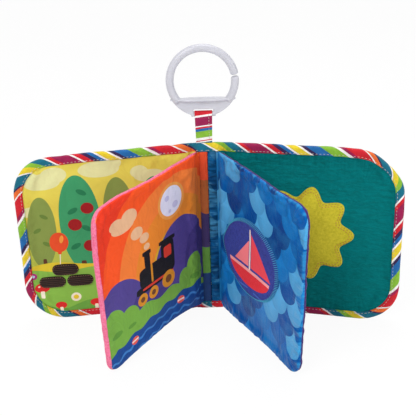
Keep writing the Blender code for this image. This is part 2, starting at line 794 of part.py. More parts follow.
LOOP_BODY = pivot("loop_crease", None, (-LOOP_FROM_MIDDLE, 0, COVER_HEIGHT + LOOP_RISE))
hanging_loop(LOOP_BODY, RIBBON_CLOTH)
RING_BODY = pivot("ring_pivot", LOOP_BODY, (0, 0, LOOP_LENGTH), lean=RING_LEAN)
ARM_BODY = pivot("ring_arm_flex", RING_BODY, on_ring(ARM_ROOT_ANGLE, RING_RADIUS))
ring(RING_BODY, ARM_BODY, RING_PLASTIC)
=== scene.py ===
"""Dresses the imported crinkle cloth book: padded pages, printed cloths, stitches and the clip ring.

Metres, in the frame's axes; the reader is at -Y. A page is measured out from its crease, up from its
lower edge, and by the lift off its middle plane, which is above zero on the side that faces the reader.
"""

import math

import bmesh
import bpy
from mathutils import Matrix, Vector, noise
from mathutils.bvhtree import BVHTree


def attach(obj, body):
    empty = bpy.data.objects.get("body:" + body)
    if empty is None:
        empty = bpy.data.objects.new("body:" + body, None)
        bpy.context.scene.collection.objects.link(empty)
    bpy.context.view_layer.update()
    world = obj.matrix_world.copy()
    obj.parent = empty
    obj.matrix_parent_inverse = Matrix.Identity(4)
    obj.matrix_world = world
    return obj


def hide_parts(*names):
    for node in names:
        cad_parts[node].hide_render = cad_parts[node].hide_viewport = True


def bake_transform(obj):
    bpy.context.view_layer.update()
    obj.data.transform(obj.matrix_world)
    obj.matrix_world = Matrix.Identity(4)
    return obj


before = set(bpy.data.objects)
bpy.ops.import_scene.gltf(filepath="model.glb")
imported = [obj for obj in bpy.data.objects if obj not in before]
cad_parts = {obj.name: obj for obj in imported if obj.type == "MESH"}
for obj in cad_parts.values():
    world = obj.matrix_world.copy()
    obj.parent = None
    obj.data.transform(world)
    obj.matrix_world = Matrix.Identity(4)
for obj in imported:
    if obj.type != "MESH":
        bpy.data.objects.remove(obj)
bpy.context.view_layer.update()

# Sizes of the sewn parts, as in the CAD
COVER = (0.1555, 0.165, 0.0365)
LEAF = (0.129, 0.1515, 0.014)
LEAF_FOOT = 0.00675
LEFT_OPEN, RIGHT_OPEN = 3.5, 12
SPINE_HALF = 0.012
GUTTER = 0.0035
ROOT = 0.006
ROOT_MIDDLE = 0.008
BINDING = 0.0078
BINDING_LIFT = 0.0027
STITCH_LINE = BINDING * 0.80
CLOTH = 0.0004
ABOVE_FLOOR = 0.0005
NEEDLE = 0.02

# Ring, in its own frame: its bar at the origin, the ring's middle above it
RING_PIVOT = Vector((-0.0025, 0, 0.191104))
RING_LEAN = math.radians(3.5)
RING_UP = 0.0288
RING_OUTER = 0.031
TUBE = 0.0034
SOFT_END = 0.45
LOOP_CREASE = 0.166804


# How a page's cloth goes out of true: where it starts, how far it reaches, its pitch and its depth
FREE_FROM_CREASE = 0.012
GATHER_PITCH, GATHER_REACH = 0.0052, 0.006
SWAYS, SWAY_REACH = ((0.034, 0.0012, 9), (0.009, 0.0004, 5)), 0.02
WARP_PITCH, WARP_DEPTH = 0.085, 0.003
BOW_SHARE, BOW_MIDDLE, BOW_REACH = 0.22, 0.044, 0.026
TUCK_REACH = 0.05


# Pages and how they hang


class Page:
    """A cover or a leaf: its crease, the way it runs, its outline, and how it hangs and puckers."""

    def __init__(
        self, hand, crease, degrees, size, foot=0.0, fall=0.0, crown=0.0, tuck=(0.0, 0.0),
        droop=0.0, splay=0.0, arch=0.0, gather=0.1, seed=0,
    ):
        side = 1 if hand == "left" else -1
        turn = math.radians(180 + degrees if hand == "left" else -degrees)
        self.hand = hand
        self.crease = Vector((*crease, foot))
        self.out = Vector((math.cos(turn), math.sin(turn), 0))
        self.reader = Vector((-self.out.y, self.out.x, 0)) * side
        self.width, self.height, self.corner = size
        self.fall, self.crown, self.tuck = fall, crown, tuck
        self.droop, self.splay, self.arch = droop, splay, arch
        self.gather, self.seed = gather, seed

    def edge(self, out, up):
        """Distance in from the top, the bottom and the outer side, and the nearest place on them."""
        middle = (self.width - self.corner, min(max(up, self.corner), self.height - self.corner))
        far_out, far_up = max(out - middle[0], 0), up - middle[1]
        reach = math.hypot(far_out, far_up)
        if far_out > 0 and abs(far_up) > 0:
            share = self.corner / max(reach, 1e-6)
            return self.corner - reach, (middle[0] + far_out * share, middle[1] + far_up * share)
        if self.width - out < min(up, self.height - up):
            return self.width - out, (self.width, up)
        return min(up, self.height - up), (out, 0 if up < self.height / 2 else self.height)

    def uneven(self, out, up, pitch, layer):
        return noise.noise((out / pitch, up / pitch, self.seed + layer))

    def place(self, out, lift, up):
        """The place in the frame, after the cloth has gathered along its seams and hung out of true."""
        edge, (rim_out, rim_up) = self.edge(out, up)
        free = min(max(out, 0) / FREE_FROM_CREASE, 1)
        near = math.exp(-max(edge, 0) / GATHER_REACH) * free
        lift *= 1 + self.gather * near * self.uneven(rim_out, rim_up, GATHER_PITCH, 0)
        sway = sum(size * self.uneven(rim_out, rim_up, pitch, layer) for pitch, size, layer in SWAYS)
        sway *= math.exp(-max(edge, 0) / SWAY_REACH) * free
        along, low = max(out, 0) / self.width, (1 - min(max(up / self.height, 0), 1)) ** 2
        bend = WARP_DEPTH * self.uneven(out, up, WARP_PITCH, 3) * free
        bend -= self.arch * BOW_SHARE * math.exp(-((out - BOW_MIDDLE) / BOW_REACH) ** 2) * low
        outer = max(1 - (self.width - out) / TUCK_REACH, 0) ** 2
        ends = (1 - (self.height - up) / TUCK_REACH, 1 - up / TUCK_REACH)
        top, foot = (pull * outer * max(near, 0) ** 2 for pull, near in zip(self.tuck, ends))
        out += sway * (out - self.width * 0.6) / self.width - top - foot
        up += sway * (up - self.height / 2) / self.height * 2 * min(max(up, 0) / 0.015, 1)
        up += foot - top + self.crown * math.sin(math.pi * min(along, 1)) * up / self.height
        hung_up = up * (1 - self.fall * out / self.width / self.height) - self.droop * along
        hung_up += self.arch * math.sin(math.pi * min(along, 1) ** 0.7) * low
        hung_up = max(hung_up, ABOVE_FLOOR - self.crease.z)
        hung_out = out * (1 + self.splay * (up / self.height - 0.5))
        return self.crease + self.out * hung_out + self.reader * (lift + bend) + Vector((0, 0, hung_up))


LEFT_COVER = Page(
    "left", (-0.015493, -0.000214), LEFT_OPEN, COVER,
    fall=0.0065, crown=-0.0008, tuck=(-0.002, 0), gather=0.14, seed=1,
)
RIGHT_COVER = Page(
    "right", (0.015424, -0.000728), RIGHT_OPEN, COVER,
    fall=0.0032, crown=0.0016, tuck=(0.0070, -0.002), gather=0.14, seed=21,
)
LEFT_LEAF = Page(
    "left", (-0.011694, -0.007108), 52, (0.1263, LEAF[1], 0.0115), LEAF_FOOT,
    tuck=(0.002, 0), droop=0.00757, splay=0.05, arch=0.007, gather=0.16, seed=41,
)
RIGHT_LEAF = Page(
    "right", (0.010909, -0.007628), 61, (0.1278, *LEAF[1:]), LEAF_FOOT,
    tuck=(0, -0.002), droop=0.0050, splay=0.06, gather=0.5, seed=61,
)


class SpineSide:
    """Half of the spine, from its middle out over the fold at the gutter, to the gutter's middle."""

    def __init__(self, hand, degrees):
        self.hand, self.height = hand, COVER[1]
        self.way = -1 if hand == "left" else 1
        self.bend = math.radians(degrees)

    def place(self, out, lift, up):
        past = out - SPINE_HALF
        turned = self.bend * min(max(past / 0.001 + 0.5, 0), 1)
        along = Vector((self.way * math.cos(turned), -math.sin(turned), 0))
        face = Vector((-self.way * math.sin(turned), -math.cos(turned), 0))
        base = Vector((self.way * min(out, SPINE_HALF), 0, up))
        return base + along * max(past, 0) + face * lift


SPINE_SIDES = (SpineSide("left", LEFT_OPEN), SpineSide("right", RIGHT_OPEN))


def swell(distance, start, reach):
    share = min(max((distance - start) / reach, 0), 1)
    return 1 - (1 - share) ** 2


# Colours and finishes


def ink(code, shade=1.0):
    """A colour from its printed code, in the renderer's own scale."""
    parts = [int(code[k:k + 2], 16) / 255 for k in (0, 2, 4)]
    return (*[shade * (c / 12.92 if c <= 0.04045 else ((c + 0.055) / 1.055) ** 2.4) for c in parts], 1)


def in_metres(row):
    x, y, wide, tall, *turn = row
    return (x / 1000, y / 1000), (wide / 1000, tall / 1000), *turn


class Finish:
    """A cloth's or a plastic's material, built by short calls that each return a socket."""

    def __init__(self, name, **sockets):
        self.made = bpy.data.materials.new(name)
        self.made.use_nodes = True
        self.tree = self.made.node_tree
        self.shader = self.tree.nodes["Principled BSDF"]
        for socket, value in sockets.items():
            self.shader.inputs[socket.replace("_", " ")].default_value = value
        self.cut = self.add("ShaderNodeUVMap", uv_map="cut").outputs[0]
        self.spot = self.add("ShaderNodeTexCoord").outputs["Object"]

    def add(self, kind, *values, **settings):
        node = self.tree.nodes.new(kind)
        for key, value in settings.items():
            setattr(node, key, value)
        for socket, value in zip(node.inputs, values):
            self.feed(socket, value)
        return node

    def feed(self, socket, value):
        if isinstance(value, bpy.types.NodeSocket):
            self.tree.links.new(value, socket)
        elif value is not None:
            socket.default_value = value

    def sum(self, operation, *values):
        return self.add("ShaderNodeMath", *values, operation=operation).outputs[0]

    def vector(self, operation, *values):
        return self.add("ShaderNodeVectorMath", *values, operation=operation)

    def mix(self, share, under, over, kind="MIX"):
        node = self.add("ShaderNodeMix", data_type="RGBA", blend_type=kind)
        for socket, value in zip((node.inputs[0], node.inputs[6], node.inputs[7]), (share, under, over)):
            self.feed(socket, value)
        return node.outputs[2]

    def split(self, where=None):
        parts = self.add("ShaderNodeSeparateXYZ", where or self.cut).outputs
        return parts[0], parts[1]

    def join(self, x, y):
        return self.add("ShaderNodeCombineXYZ", x, y, 0.0).outputs[0]

    def mapped(self, where, middle, scale=(1, 1, 1), turn=0.0):
        turned = (0, 0, math.radians(turn))
        return self.add("ShaderNodeMapping", where, (*middle, 0), turned, scale, vector_type="TEXTURE").outputs[0]

    def stretched(self, scale):
        """The object's own places, stretched along its axes."""
        return self.add("ShaderNodeMapping", self.spot, (0, 0, 0), (0, 0, 0), scale).outputs[0]

    def cloudy(self, size, where=None, detail=2.0, rough=0.5, warp=0.0):
        node = self.add("ShaderNodeTexNoise", noise_dimensions="3D")
        self.feed(node.inputs["Vector"], where or self.spot)
        for name, value in (("Scale", 1 / size), ("Detail", detail), ("Roughness", rough), ("Distortion", warp)):
            node.inputs[name].default_value = value
        return node.outputs[0]

    def between(self, value, low, high, start=0.0, end=1.0):
        node = self.add("ShaderNodeMapRange", value, low, high, start, end, clamp=True)
        return node.outputs[0]

    def oval(self, middle, radii, turn=0.0):
        """1 inside an oval of the cut cloth."""
        spot = self.mapped(self.cut, middle, (*radii, 1), turn)
        return self.sum("LESS_THAN", self.vector("LENGTH", spot).outputs["Value"], 1.0)

    def block(self, middle, radii, turn=0.0):
        """1 inside a block with softly rounded corners."""
        ways = self.split(self.mapped(self.cut, middle, (*radii, 1), turn))
        along, across = (self.sum("POWER", self.sum("ABSOLUTE", way), 6.0) for way in ways)
        return self.sum("LESS_THAN", self.sum("ADD", along, across), 1.0)

    def ovals(self, *rows):
        """1 inside any of some ovals, each given by its middle and radii in millimetres, and its turn."""
        return self.any_of(*(self.oval(*in_metres(row)) for row in rows))

    def blocks(self, *rows):
        return self.any_of(*(self.block(*in_metres(row)) for row in rows))

    def under(self, height, slope=0.0, wave=0.0, length=0.05, phase=0.0):
        """1 below a line that slopes and waves across the page."""
        x, y = self.split()
        line = self.sum("ADD", height, self.sum("MULTIPLY", x, slope))
        rise = self.sum("MULTIPLY", self.sum("SINE", self.sum("MULTIPLY_ADD", x, math.tau / length, phase)), wave)
        return self.sum("LESS_THAN", y, self.sum("ADD", line, rise))

    def any_of(self, *masks):
        total = masks[0]
        for mask in masks[1:]:
            total = self.sum("MAXIMUM", total, mask)
        return total

    def lay(self, ground, *marks):
        """Colours printed one over another, each where its mask is 1."""
        for colour, mask in marks:
            ground = self.mix(mask, ground, colour)
        return ground

    def steps(self, value, *places_and_colours):
        """One plain colour after another as a value grows from 0 to 1."""
        ramp = self.add("ShaderNodeValToRGB", value)
        ramp.color_ramp.interpolation = "CONSTANT"
        stops = ramp.color_ramp.elements
        for number, (place, colour) in enumerate(places_and_colours):
            stop = stops[number] if number < 2 else stops.new(place)
            stop.position, stop.color = place, colour
        return ramp.outputs[0]

    def dyed(self, value, *places_and_codes, shade=1.0):
        return self.steps(value, *((place, ink(code, shade)) for place, code in places_and_codes))

    def stripes(self, along, dyes_and_widths, unit):
        """Stripes across a measure, each with its own width, over and over."""
        cycle = sum(width for _, width in dyes_and_widths)
        places = [sum(width for _, width in dyes_and_widths[:k]) / cycle for k in range(len(dyes_and_widths))]
        share = self.sum("FRACT", self.sum("DIVIDE", along, cycle * unit))
        return self.steps(share, *zip(places, (TAPE_DYES[dye] for dye, _ in dyes_and_widths)))

    def weave(self, pitch):
        """Height of a plain weave: threads over and under each other."""
        x, y = self.split()
        across = self.sum("SINE", self.sum("MULTIPLY", x, math.tau / pitch))
        along = self.sum("SINE", self.sum("MULTIPLY", y, math.tau / pitch))
        return self.sum("MULTIPLY_ADD", self.sum("MULTIPLY", across, along), 0.5, 0.5)

    def done(self, colour, *bumps, wear=0.06, size=0.02):
        """Finishes the material: colour with a little unevenness, and its heights as bumps."""
        uneven = self.between(self.cloudy(size, detail=3.0), 0.3, 0.7, 1 - wear, 1 + wear * 0.5)
        grey = self.add("ShaderNodeCombineColor", uneven, uneven, uneven).outputs[0]
        shade = self.mix(1.0, colour, grey, "MULTIPLY")
        self.feed(self.shader.inputs["Base Color"], shade)
        normal = None
        for height, depth in bumps:
            node = self.add("ShaderNodeBump")
            node.inputs["Distance"].default_value = depth
            node.inputs["Strength"].default_value = 1.0
            self.feed(node.inputs["Height"], height)
            if normal:
                self.feed(node.inputs["Normal"], normal)
            normal = node.outputs[0]
        self.feed(self.shader.inputs["Normal"], normal)
        return self.made

    def crinkle(self, size, stretch=(1, 1, 1)):
        """Height of small creases in cloth over crackling film."""
        creases = self.cloudy(size, self.stretched(stretch), 2.0, 0.55, 0.6)
        return self.sum("ABSOLUTE", self.sum("SUBTRACT", creases, 0.5))

    def rim_gather(self, pitch, reach):
        """Height of the little folds that run in from a seam, from the cloth's own edge measure."""
        edge = self.add("ShaderNodeAttribute", attribute_name="edge").outputs["Fac"]
        rim = self.add("ShaderNodeAttribute", attribute_name="rim").outputs["Vector"]
        folds = self.cloudy(pitch, rim, 1.0, 0.5)
        fade = self.sum("EXPONENT", self.sum("DIVIDE", edge, -reach))
        return self.sum("MULTIPLY", folds, fade)


TAPE_DYES = {
    "red": ink("C81C2A"), "magenta": ink("94164A"), "white": ink("ECE8E6"),
    "purple": ink("32204C"), "blue": ink("1C64A4"), "yellow": ink("DCC42C"),
    "lime": ink("80B234"), "orange": ink("E0682A"), "teal": ink("0C6880"),
}
TAPE_STRIPES = (
    ("red", 4.9), ("magenta", 14.9), ("white", 2.7), ("red", 6.4), ("purple", 4.5), ("blue", 5.4),
    ("white", 2.2), ("yellow", 9.3), ("white", 2.2), ("purple", 4.4), ("blue", 11.5), ("lime", 12.4),
    ("white", 3.7), ("magenta", 4.4), ("red", 16.4), ("white", 1.7), ("orange", 6.9), ("purple", 3),
    ("teal", 13.4), ("white", 2.2), ("yellow", 8.4), ("lime", 7), ("teal", 10.4), ("white", 2.7),
)
TAPE_STRETCH, TAPE_SLANT, TAPE_START = 0.001037, 1.45, 0.0142
RIBBON_STRIPES = (
    ("white", 1.0), ("red", 1.0), ("white", 2.4), ("lime", 6.2), ("blue", 2.4), ("red", 1.6),
    ("white", 1.1), ("magenta", 8.0), ("white", 1.7), ("red", 6.0), ("teal", 3.0),
)


def cotton_print():
    """The left cover's page: tall rounded trees on a meadow under a yellow sky."""
    f = Finish("sunny_print", Roughness=0.85, Sheen_Weight=0.02, Sheen_Roughness=0.6, Specular_IOR_Level=0.12)
    _, y = f.split()
    sky = f.mix(f.between(y, 0.05, 0.13), ink("D4BA30"), ink("DED056"))
    green, olive, leaf, leaf_shade = ink("3E9A66"), ink("83964A"), ink("287A50"), ink("66803A")
    marks = [
        (ink("DCDDA0"), f.ovals(
            (130, 141, 16, 8), (119, 147, 11, 8), (140, 145, 9, 6), (80, 149, 18, 8),
            (70, 154, 10, 7), (36, 139, 14, 6), (45, 143, 8, 6), (143, 112, 11, 5),
        )),
        (ink("B4BE4C"), f.under(0.074, 0.05, 0.006, 0.09)),
        (olive, f.ovals((135, 90, 13, 36, 2), (64, 96, 15, 44, -3), (8, 90, 14, 40))),
        (green, f.ovals((100, 97, 18.5, 48, -2), (34, 98, 16, 40, 3))),
        (leaf, f.ovals(
            (97, 128, 5, 2.5, 30), (106, 110, 5, 2.5, -30), (95, 92, 5, 2.5, 30),
            (106, 74, 5, 2.5, -30), (31, 106, 5, 2.5, 30), (38, 92, 5, 2.5, -30),
        )),
        (leaf_shade, f.ovals(
            (132, 106, 4, 2, 30), (139, 92, 4, 2, -30), (132, 78, 4, 2, 30), (61, 112, 5, 2, 30),
            (68, 96, 5, 2, -30), (61, 80, 5, 2, 30),
        )),
        (ink("9C1F22"), f.ovals((105, 96, 6.2, 6), (93, 112, 5.8, 5.6), (93, 74, 6, 5.8))),
        (ink("5E3A2A"), f.blocks(
            (135, 53, 1.8, 10), (100, 49, 2.4, 10), (64, 50, 2, 10), (34, 54, 2, 10),
        )),
        (ink("DCC636"), f.under(0.056, 0.01, 0.0015, 0.06, 1.0)),
        (ink("86BA4C"), f.under(0.049, 0.015, 0.002, 0.07)),
        (ink("68A244"), f.under(0.016, -0.02, 0.003, 0.05, 2.0)),
        (ink("E8E0D0"), f.blocks((121.5, 58, 0.4, 12, 4))),
        (ink("E0502A"), f.ovals((121, 79, 8.5, 10.2), (121, 68.2, 1.8, 1.4))),
        (ink("EE9A40"), f.ovals((118.5, 82, 1.8, 4, 12))),
        (ink("D62E2C"), f.ovals(
            (140, 33, 7, 4.8), (66, 28, 5.5, 4), (124, 14, 5.2, 3.6), (92, 14, 5.6, 3.8),
        )),
        (ink("F0E8D0"), f.any_of(f.ovals(
            (137.2, 34.8, 1.2, 0.9), (142.8, 34.4, 1.1, 0.9), (67.2, 29.8, 1, 0.9),
            (110, 21.5, 4.6, 4.6),
        ), f.blocks(
            (140, 25.8, 2, 3.6), (66, 22.5, 1.6, 3), (124, 9.6, 1.5, 2.6), (92, 9.4, 1.6, 2.6),
        ))),
        (ink("DCC22E"), f.ovals((110, 21.5, 2.4, 2.4))),
        (ink("A83478"), f.ovals((76, 11.5, 2.6, 2.6), (147, 46, 3.4, 3.4), (40, 26, 2.8, 2.8))),
        (ink("B8CCE8"), f.ovals((147, 46, 1.3, 1.3))),
    ]
    heights = (f.weave(0.0006), 0.00006), (f.rim_gather(0.0042, 0.007), 0.0014), (f.crinkle(0.020), 0.0016)
    return f.done(f.lay(sky, *marks), *heights, wear=0.07)


def sunset_print():
    """The left leaf's page: a sunset in bands behind purple hills, and a little train by the water."""
    f = Finish("sunset_print", Roughness=0.62, Sheen_Weight=0.02, Specular_IOR_Level=0.14)
    x, _ = f.split()
    ring = f.vector("LENGTH", f.mapped(f.cut, (0.030, 0.058), (1, 1.15, 1))).outputs["Value"]
    bands = f.dyed(
        f.sum("DIVIDE", ring, 0.14),
        (0.0, "DCA82C"), (0.25, "EA862A"), (0.40, "F27C34"), (0.54, "F6541E"), (0.68, "EA3A1C"),
    )
    purple, bush, coal = ink("50428A"), ink("74A840"), ink("17151A")
    amber, cloud = ink("D48A24"), ink("E8B68C")
    ripples = [
        f.sum("SUBTRACT", *(f.under(level, -0.11, 0.0012, 0.015, turn) for level in (high, high - 0.0022)))
        for high, turn in ((0.021, 1.0), (0.012, 3.0))
    ]
    marks = [
        (cloud, f.ovals((94, 124, 13, 6), (86, 129, 9, 7), (101, 128, 8, 5))),
        (ink("EE9C4C"), f.ovals((36, 122, 16.5, 16.5))),
        (ink("E2DEEE"), f.ovals((36, 122, 13.5, 13.5))),
        (ink("C4BEDC"), f.ovals((41, 126, 2.8, 2.6), (31, 117, 3.6, 3.2), (38, 113, 1.8, 1.7))),
        (purple, f.ovals((24, 40, 42, 62), (106, 34, 36, 44))),
        (ink("43377A"), f.ovals((68, 30, 26, 34), (2, 44, 20, 42))),
        (bush, f.any_of(
            f.under(0.036, 0.03, 0.0022, 0.033),
            f.ovals((116, 40, 15, 16), (96, 36, 12, 13), (8, 44, 12, 16), (22, 38, 9, 11)),
        )),
        (ink("5C9236"), f.ovals((113, 31, 7, 3), (94, 29, 5, 2), (10, 36, 6, 3))),
        (ink("16468C"), f.under(0.029, -0.11, 0.0014, 0.022)),
        (ink("3A78BC"), f.any_of(*ripples)),
        (ink("E0584E"), f.ovals((30, 18, 4.8, 4), (92, 12, 4.4, 3.6))),
        (ink("F0D8D0"), f.blocks((30, 18, 4.4, 0.9), (92, 12, 4, 0.8))),
        (cloud, f.ovals((71, 103, 5.5, 4.5), (79, 111, 7, 5.5), (69, 94, 3.5, 3))),
        (coal, f.blocks(
            (62, 66, 19, 9), (44, 72, 8.5, 15.5), (70, 81, 3.5, 7), (70, 88, 5.2, 2),
            (44, 88, 10.5, 2), (62, 55, 24, 3.5),
        )),
        (ink("D23A2A"), f.blocks((44, 77, 5, 5.5), (58, 55, 20, 1.2))),
        (amber, f.any_of(
            f.ovals((45, 49, 8.5, 8.5), (65, 46, 6, 6), (79, 46, 6, 6)), f.blocks((65.5, 66, 1.2, 9)),
        )),
        (ink("6E4224"), f.ovals((45, 49, 4, 4), (65, 46, 2.6, 2.6), (79, 46, 2.6, 2.6))),
        (ink("E89A2C"), f.sum("GREATER_THAN", x, LEAF[0] - 0.0030)),
    ]
    creases = f.crinkle(0.014, (1, 1, 0.7))
    heights = (f.weave(0.0005), 0.00004), (f.rim_gather(0.0046, 0.008), 0.0016), (creases, 0.0018)
    return f.done(f.lay(bands, *marks), *heights, wear=0.05)


def scale_satin(name, shade=1.0, painted_fold_shading=0.0):
    """Shiny blue satin with rows of scallops laid over one another. Its colour holds painted highlights, painted
    shade towards each scallop's rim and painted highlights on the folds at the seams; the third argument sets how
    much painted shade lies in its cross folds and painted highlight on their ridges, and shade darkens its dyes.
    """
    f = Finish(name, Roughness=0.36, Specular_IOR_Level=0.18)
    f.shader.inputs["Specular Tint"].default_value = ink("2C84D8")
    pitch, rise = 0.0240, 0.0148
    x, y = f.split()
    row = f.sum("FLOOR", f.sum("DIVIDE", y, rise))
    hang = f.sum("SUBTRACT", f.sum("MULTIPLY", f.sum("ADD", row, 1.0), rise), y)
    shift = f.sum("MULTIPLY", f.sum("FLOORED_MODULO", row, 2.0), 0.5)
    along = f.sum("ADD", f.sum("DIVIDE", x, pitch), shift)
    near_x = f.sum("MULTIPLY", f.sum("SUBTRACT", f.sum("FRACT", along), 0.5), pitch)
    reach = f.vector("LENGTH", f.join(near_x, f.sum("MULTIPLY", hang, pitch / 2 / rise))).outputs["Value"]
    inside = f.sum("LESS_THAN", reach, pitch / 2)
    other = f.sum("ADD", f.sum("DIVIDE", x, pitch), f.sum("SUBTRACT", 0.5, shift))
    below = f.join(f.sum("FLOOR", other), f.sum("SUBTRACT", row, 1.0))
    number = f.mix(inside, below, f.join(f.sum("FLOOR", along), row))
    dyes = f.dyed(
        f.add("ShaderNodeTexWhiteNoise", number, noise_dimensions="3D").outputs["Value"],
        (0.0, "085AA6"), (0.26, "1470BA"), (0.50, "084C96"), (0.64, "52A2D6"), (0.84, "103F82"), shade=shade,
    )
    # painted highlight: cloudy patches of the satin turned lighter cyan, standing in for its sheen
    painted_highlight = f.between(f.cloudy(0.012), 0.45, 0.75, 0.0, 0.25)
    colour = f.mix(painted_highlight, dyes, ink("3CA0D8", shade))
    # painted shade: each scallop darker towards its rounded outline
    low = f.between(f.sum("MULTIPLY", reach, inside), 0.0, pitch / 2, 0.0, 0.22)
    colour = f.mix(low, colour, ink("062E6C"))
    gather = f.rim_gather(0.0050, 0.008)
    # painted highlight: lighter cyan on the little folds that run in from the seams
    colour = f.mix(f.between(gather, 0.44, 0.60, 0.0, 0.5), colour, ink("3CA0D8", shade))
    if painted_fold_shading:
        # cross folds painted on as colour only: painted shade in their hollows, painted highlight on their ridges
        folds = f.cloudy(0.0050, f.stretched((0.3, 0.3, 1.5)), 2.0, 0.6)
        colour = f.mix(f.between(folds, 0.40, 0.50, painted_fold_shading, 0.0), colour, ink("03203E"))
        colour = f.mix(f.between(folds, 0.56, 0.66, 0.0, painted_fold_shading * 0.6), colour, ink("5AA8D4"))
    heights = (f.weave(0.0004), 0.00002), (gather, 0.0030), (f.crinkle(0.016, (1, 1, 0.6)), 0.0013)
    return f.done(colour, *heights, wear=0.05)


def teal_fleece():
    """Short fleece brushed every way, so that it looks mottled."""
    f = Finish("teal_fleece", Roughness=0.95, Sheen_Weight=0.05, Sheen_Roughness=0.5, Specular_IOR_Level=0.08)
    f.shader.inputs["Sheen Tint"].default_value = ink("2CA8A0")
    brushed = f.stretched((0.5, 0.5, 1.3))
    tufts = f.cloudy(0.0035, brushed, 5.0, 0.65, 1.2)
    fibres = f.cloudy(0.0007, detail=2.0, rough=0.7)
    dimples = f.cloudy(0.0052, brushed, 1.0, warp=0.4)
    colour = f.mix(f.between(tufts, 0.3, 0.7), ink("006261"), ink("007478"))
    colour = f.mix(f.between(fibres, 0.5, 0.8, 0, 0.2), colour, ink("0A8C8A"))
    heights = (fibres, 0.0003), (tufts, 0.0006), (dimples, 0.0017), (f.rim_gather(0.0056, 0.014), 0.0030)
    return f.done(colour, *heights, wear=0.05)


def pile(name, low, high, tuft, sheen=0.25):
    """A plain cloth with a short pile."""
    f = Finish(name, Roughness=0.92, Sheen_Weight=sheen, Sheen_Roughness=0.45, Specular_IOR_Level=0.2)
    f.shader.inputs["Sheen Tint"].default_value = ink(high)
    fluff = f.cloudy(tuft, detail=4.0, rough=0.7)
    colour = f.mix(f.between(fluff, 0.35, 0.65), ink(low), ink(high))
    heights = (f.cloudy(tuft / 4, detail=2.0), 0.0002), (fluff, 0.0006), (f.rim_gather(0.0036, 0.004), 0.0020)
    return f.done(colour, *heights)


def woven(name, low, high, pitch=0.0006, rough=0.8):
    """A plain woven cloth."""
    f = Finish(name, Roughness=rough, Sheen_Weight=0.08, Sheen_Roughness=0.5, Specular_IOR_Level=0.25)
    threads = f.weave(pitch)
    colour = f.mix(f.sum("MULTIPLY", threads, 0.6), ink(low), ink(high))
    heights = (threads, 0.00008), (f.rim_gather(0.0040, 0.005), 0.0016), (f.crinkle(0.012), 0.0014)
    return f.done(colour, *heights, wear=0.1)


def sunset_strip():
    """The cloth strip beside the sunset page, dyed from red at the top to navy at the foot."""
    f = Finish("orange_cloth", Roughness=0.7, Sheen_Weight=0.05, Specular_IOR_Level=0.3)
    _, y = f.split()
    level = f.sum("ADD", y, f.between(f.cloudy(0.012, detail=1.0), 0.3, 0.7, -0.002, 0.002))
    colour = f.dyed(
        f.sum("DIVIDE", level, COVER[1]),
        (0.0, "14386E"), (0.23, "5E9038"), (0.39, "3A2A5E"), (0.60, "B05A26"), (0.79, "E04A20"),
    )
    return f.done(colour, (f.weave(0.0005), 0.00005), (f.crinkle(0.010, (1, 1, 0.6)), 0.0014), wear=0.08)


def dotted_cotton():
    """The outside cloth: blue cotton with small pale dots in staggered rows."""
    f = Finish("cover_cloth", Roughness=0.85, Sheen_Weight=0.06, Specular_IOR_Level=0.25)
    x, y = f.split()
    pitch = 0.014
    row = f.sum("FLOOR", f.sum("DIVIDE", y, pitch / 2))
    shift = f.sum("MULTIPLY", f.sum("FLOORED_MODULO", row, 2.0), 0.5)
    column = f.sum("FRACT", f.sum("ADD", f.sum("DIVIDE", x, pitch), shift))
    across = f.sum("MULTIPLY", f.sum("SUBTRACT", column, 0.5), pitch)
    up = f.sum("MULTIPLY", f.sum("SUBTRACT", f.sum("FRACT", f.sum("DIVIDE", y, pitch / 2)), 0.5), pitch / 2)
    dot = f.sum("LESS_THAN", f.vector("LENGTH", f.join(across, up)).outputs["Value"], 0.0014)
    colour = f.mix(dot, ink("17609C"), ink("E8E4C8"))
    heights = (f.weave(0.0006), 0.00007), (f.rim_gather(0.0042, 0.007), 0.0014), (f.crinkle(0.018), 0.0014)
    return f.done(colour, *heights, wear=0.1)


def bias_tape():
    """Binding cut on the bias from striped cotton: one tape that runs round the whole book."""
    f = Finish("striped_binding", Roughness=0.8, Sheen_Weight=0.06, Specular_IOR_Level=0.25)
    x, y = f.split()
    slanted = f.sum("SUBTRACT", f.sum("ADD", x, f.sum("MULTIPLY", y, TAPE_SLANT)), TAPE_START)
    warped = f.sum("ADD", slanted, f.between(f.cloudy(0.012), 0.3, 0.7, -0.0005, 0.0005))
    colour = f.stripes(warped, TAPE_STRIPES, TAPE_STRETCH)
    return f.done(colour, (f.weave(0.0006), 0.00008), (f.cloudy(0.0045, detail=1.0), 0.0014), wear=0.14, size=0.007)


def ribbon_tape():
    """The loop's ribbon, striped across on a slight slant."""
    f = Finish("striped_ribbon", Roughness=0.75, Sheen_Weight=0.06, Specular_IOR_Level=0.25)
    x, y = f.split()
    slanted = f.sum("SUBTRACT", f.sum("ADD", y, -0.0038), f.sum("MULTIPLY", x, 0.12))
    heights = (f.weave(0.0006), 0.00008), (f.cloudy(0.005, detail=1.0), 0.0008)
    return f.done(f.stripes(slanted, RIBBON_STRIPES, 0.001), *heights, wear=0.12, size=0.006)


def felt(name, low, high):
    f = Finish(name, Roughness=0.92, Sheen_Weight=0.1, Specular_IOR_Level=0.2)
    f.shader.inputs["Sheen Tint"].default_value = ink(high)
    fluff = f.cloudy(0.0022, detail=5.0, rough=0.7)
    colour = f.mix(f.between(fluff, 0.35, 0.65), ink(low), ink(high))
    return f.done(colour, (f.cloudy(0.0006, detail=2.0), 0.0002), (fluff, 0.0005), wear=0.1)


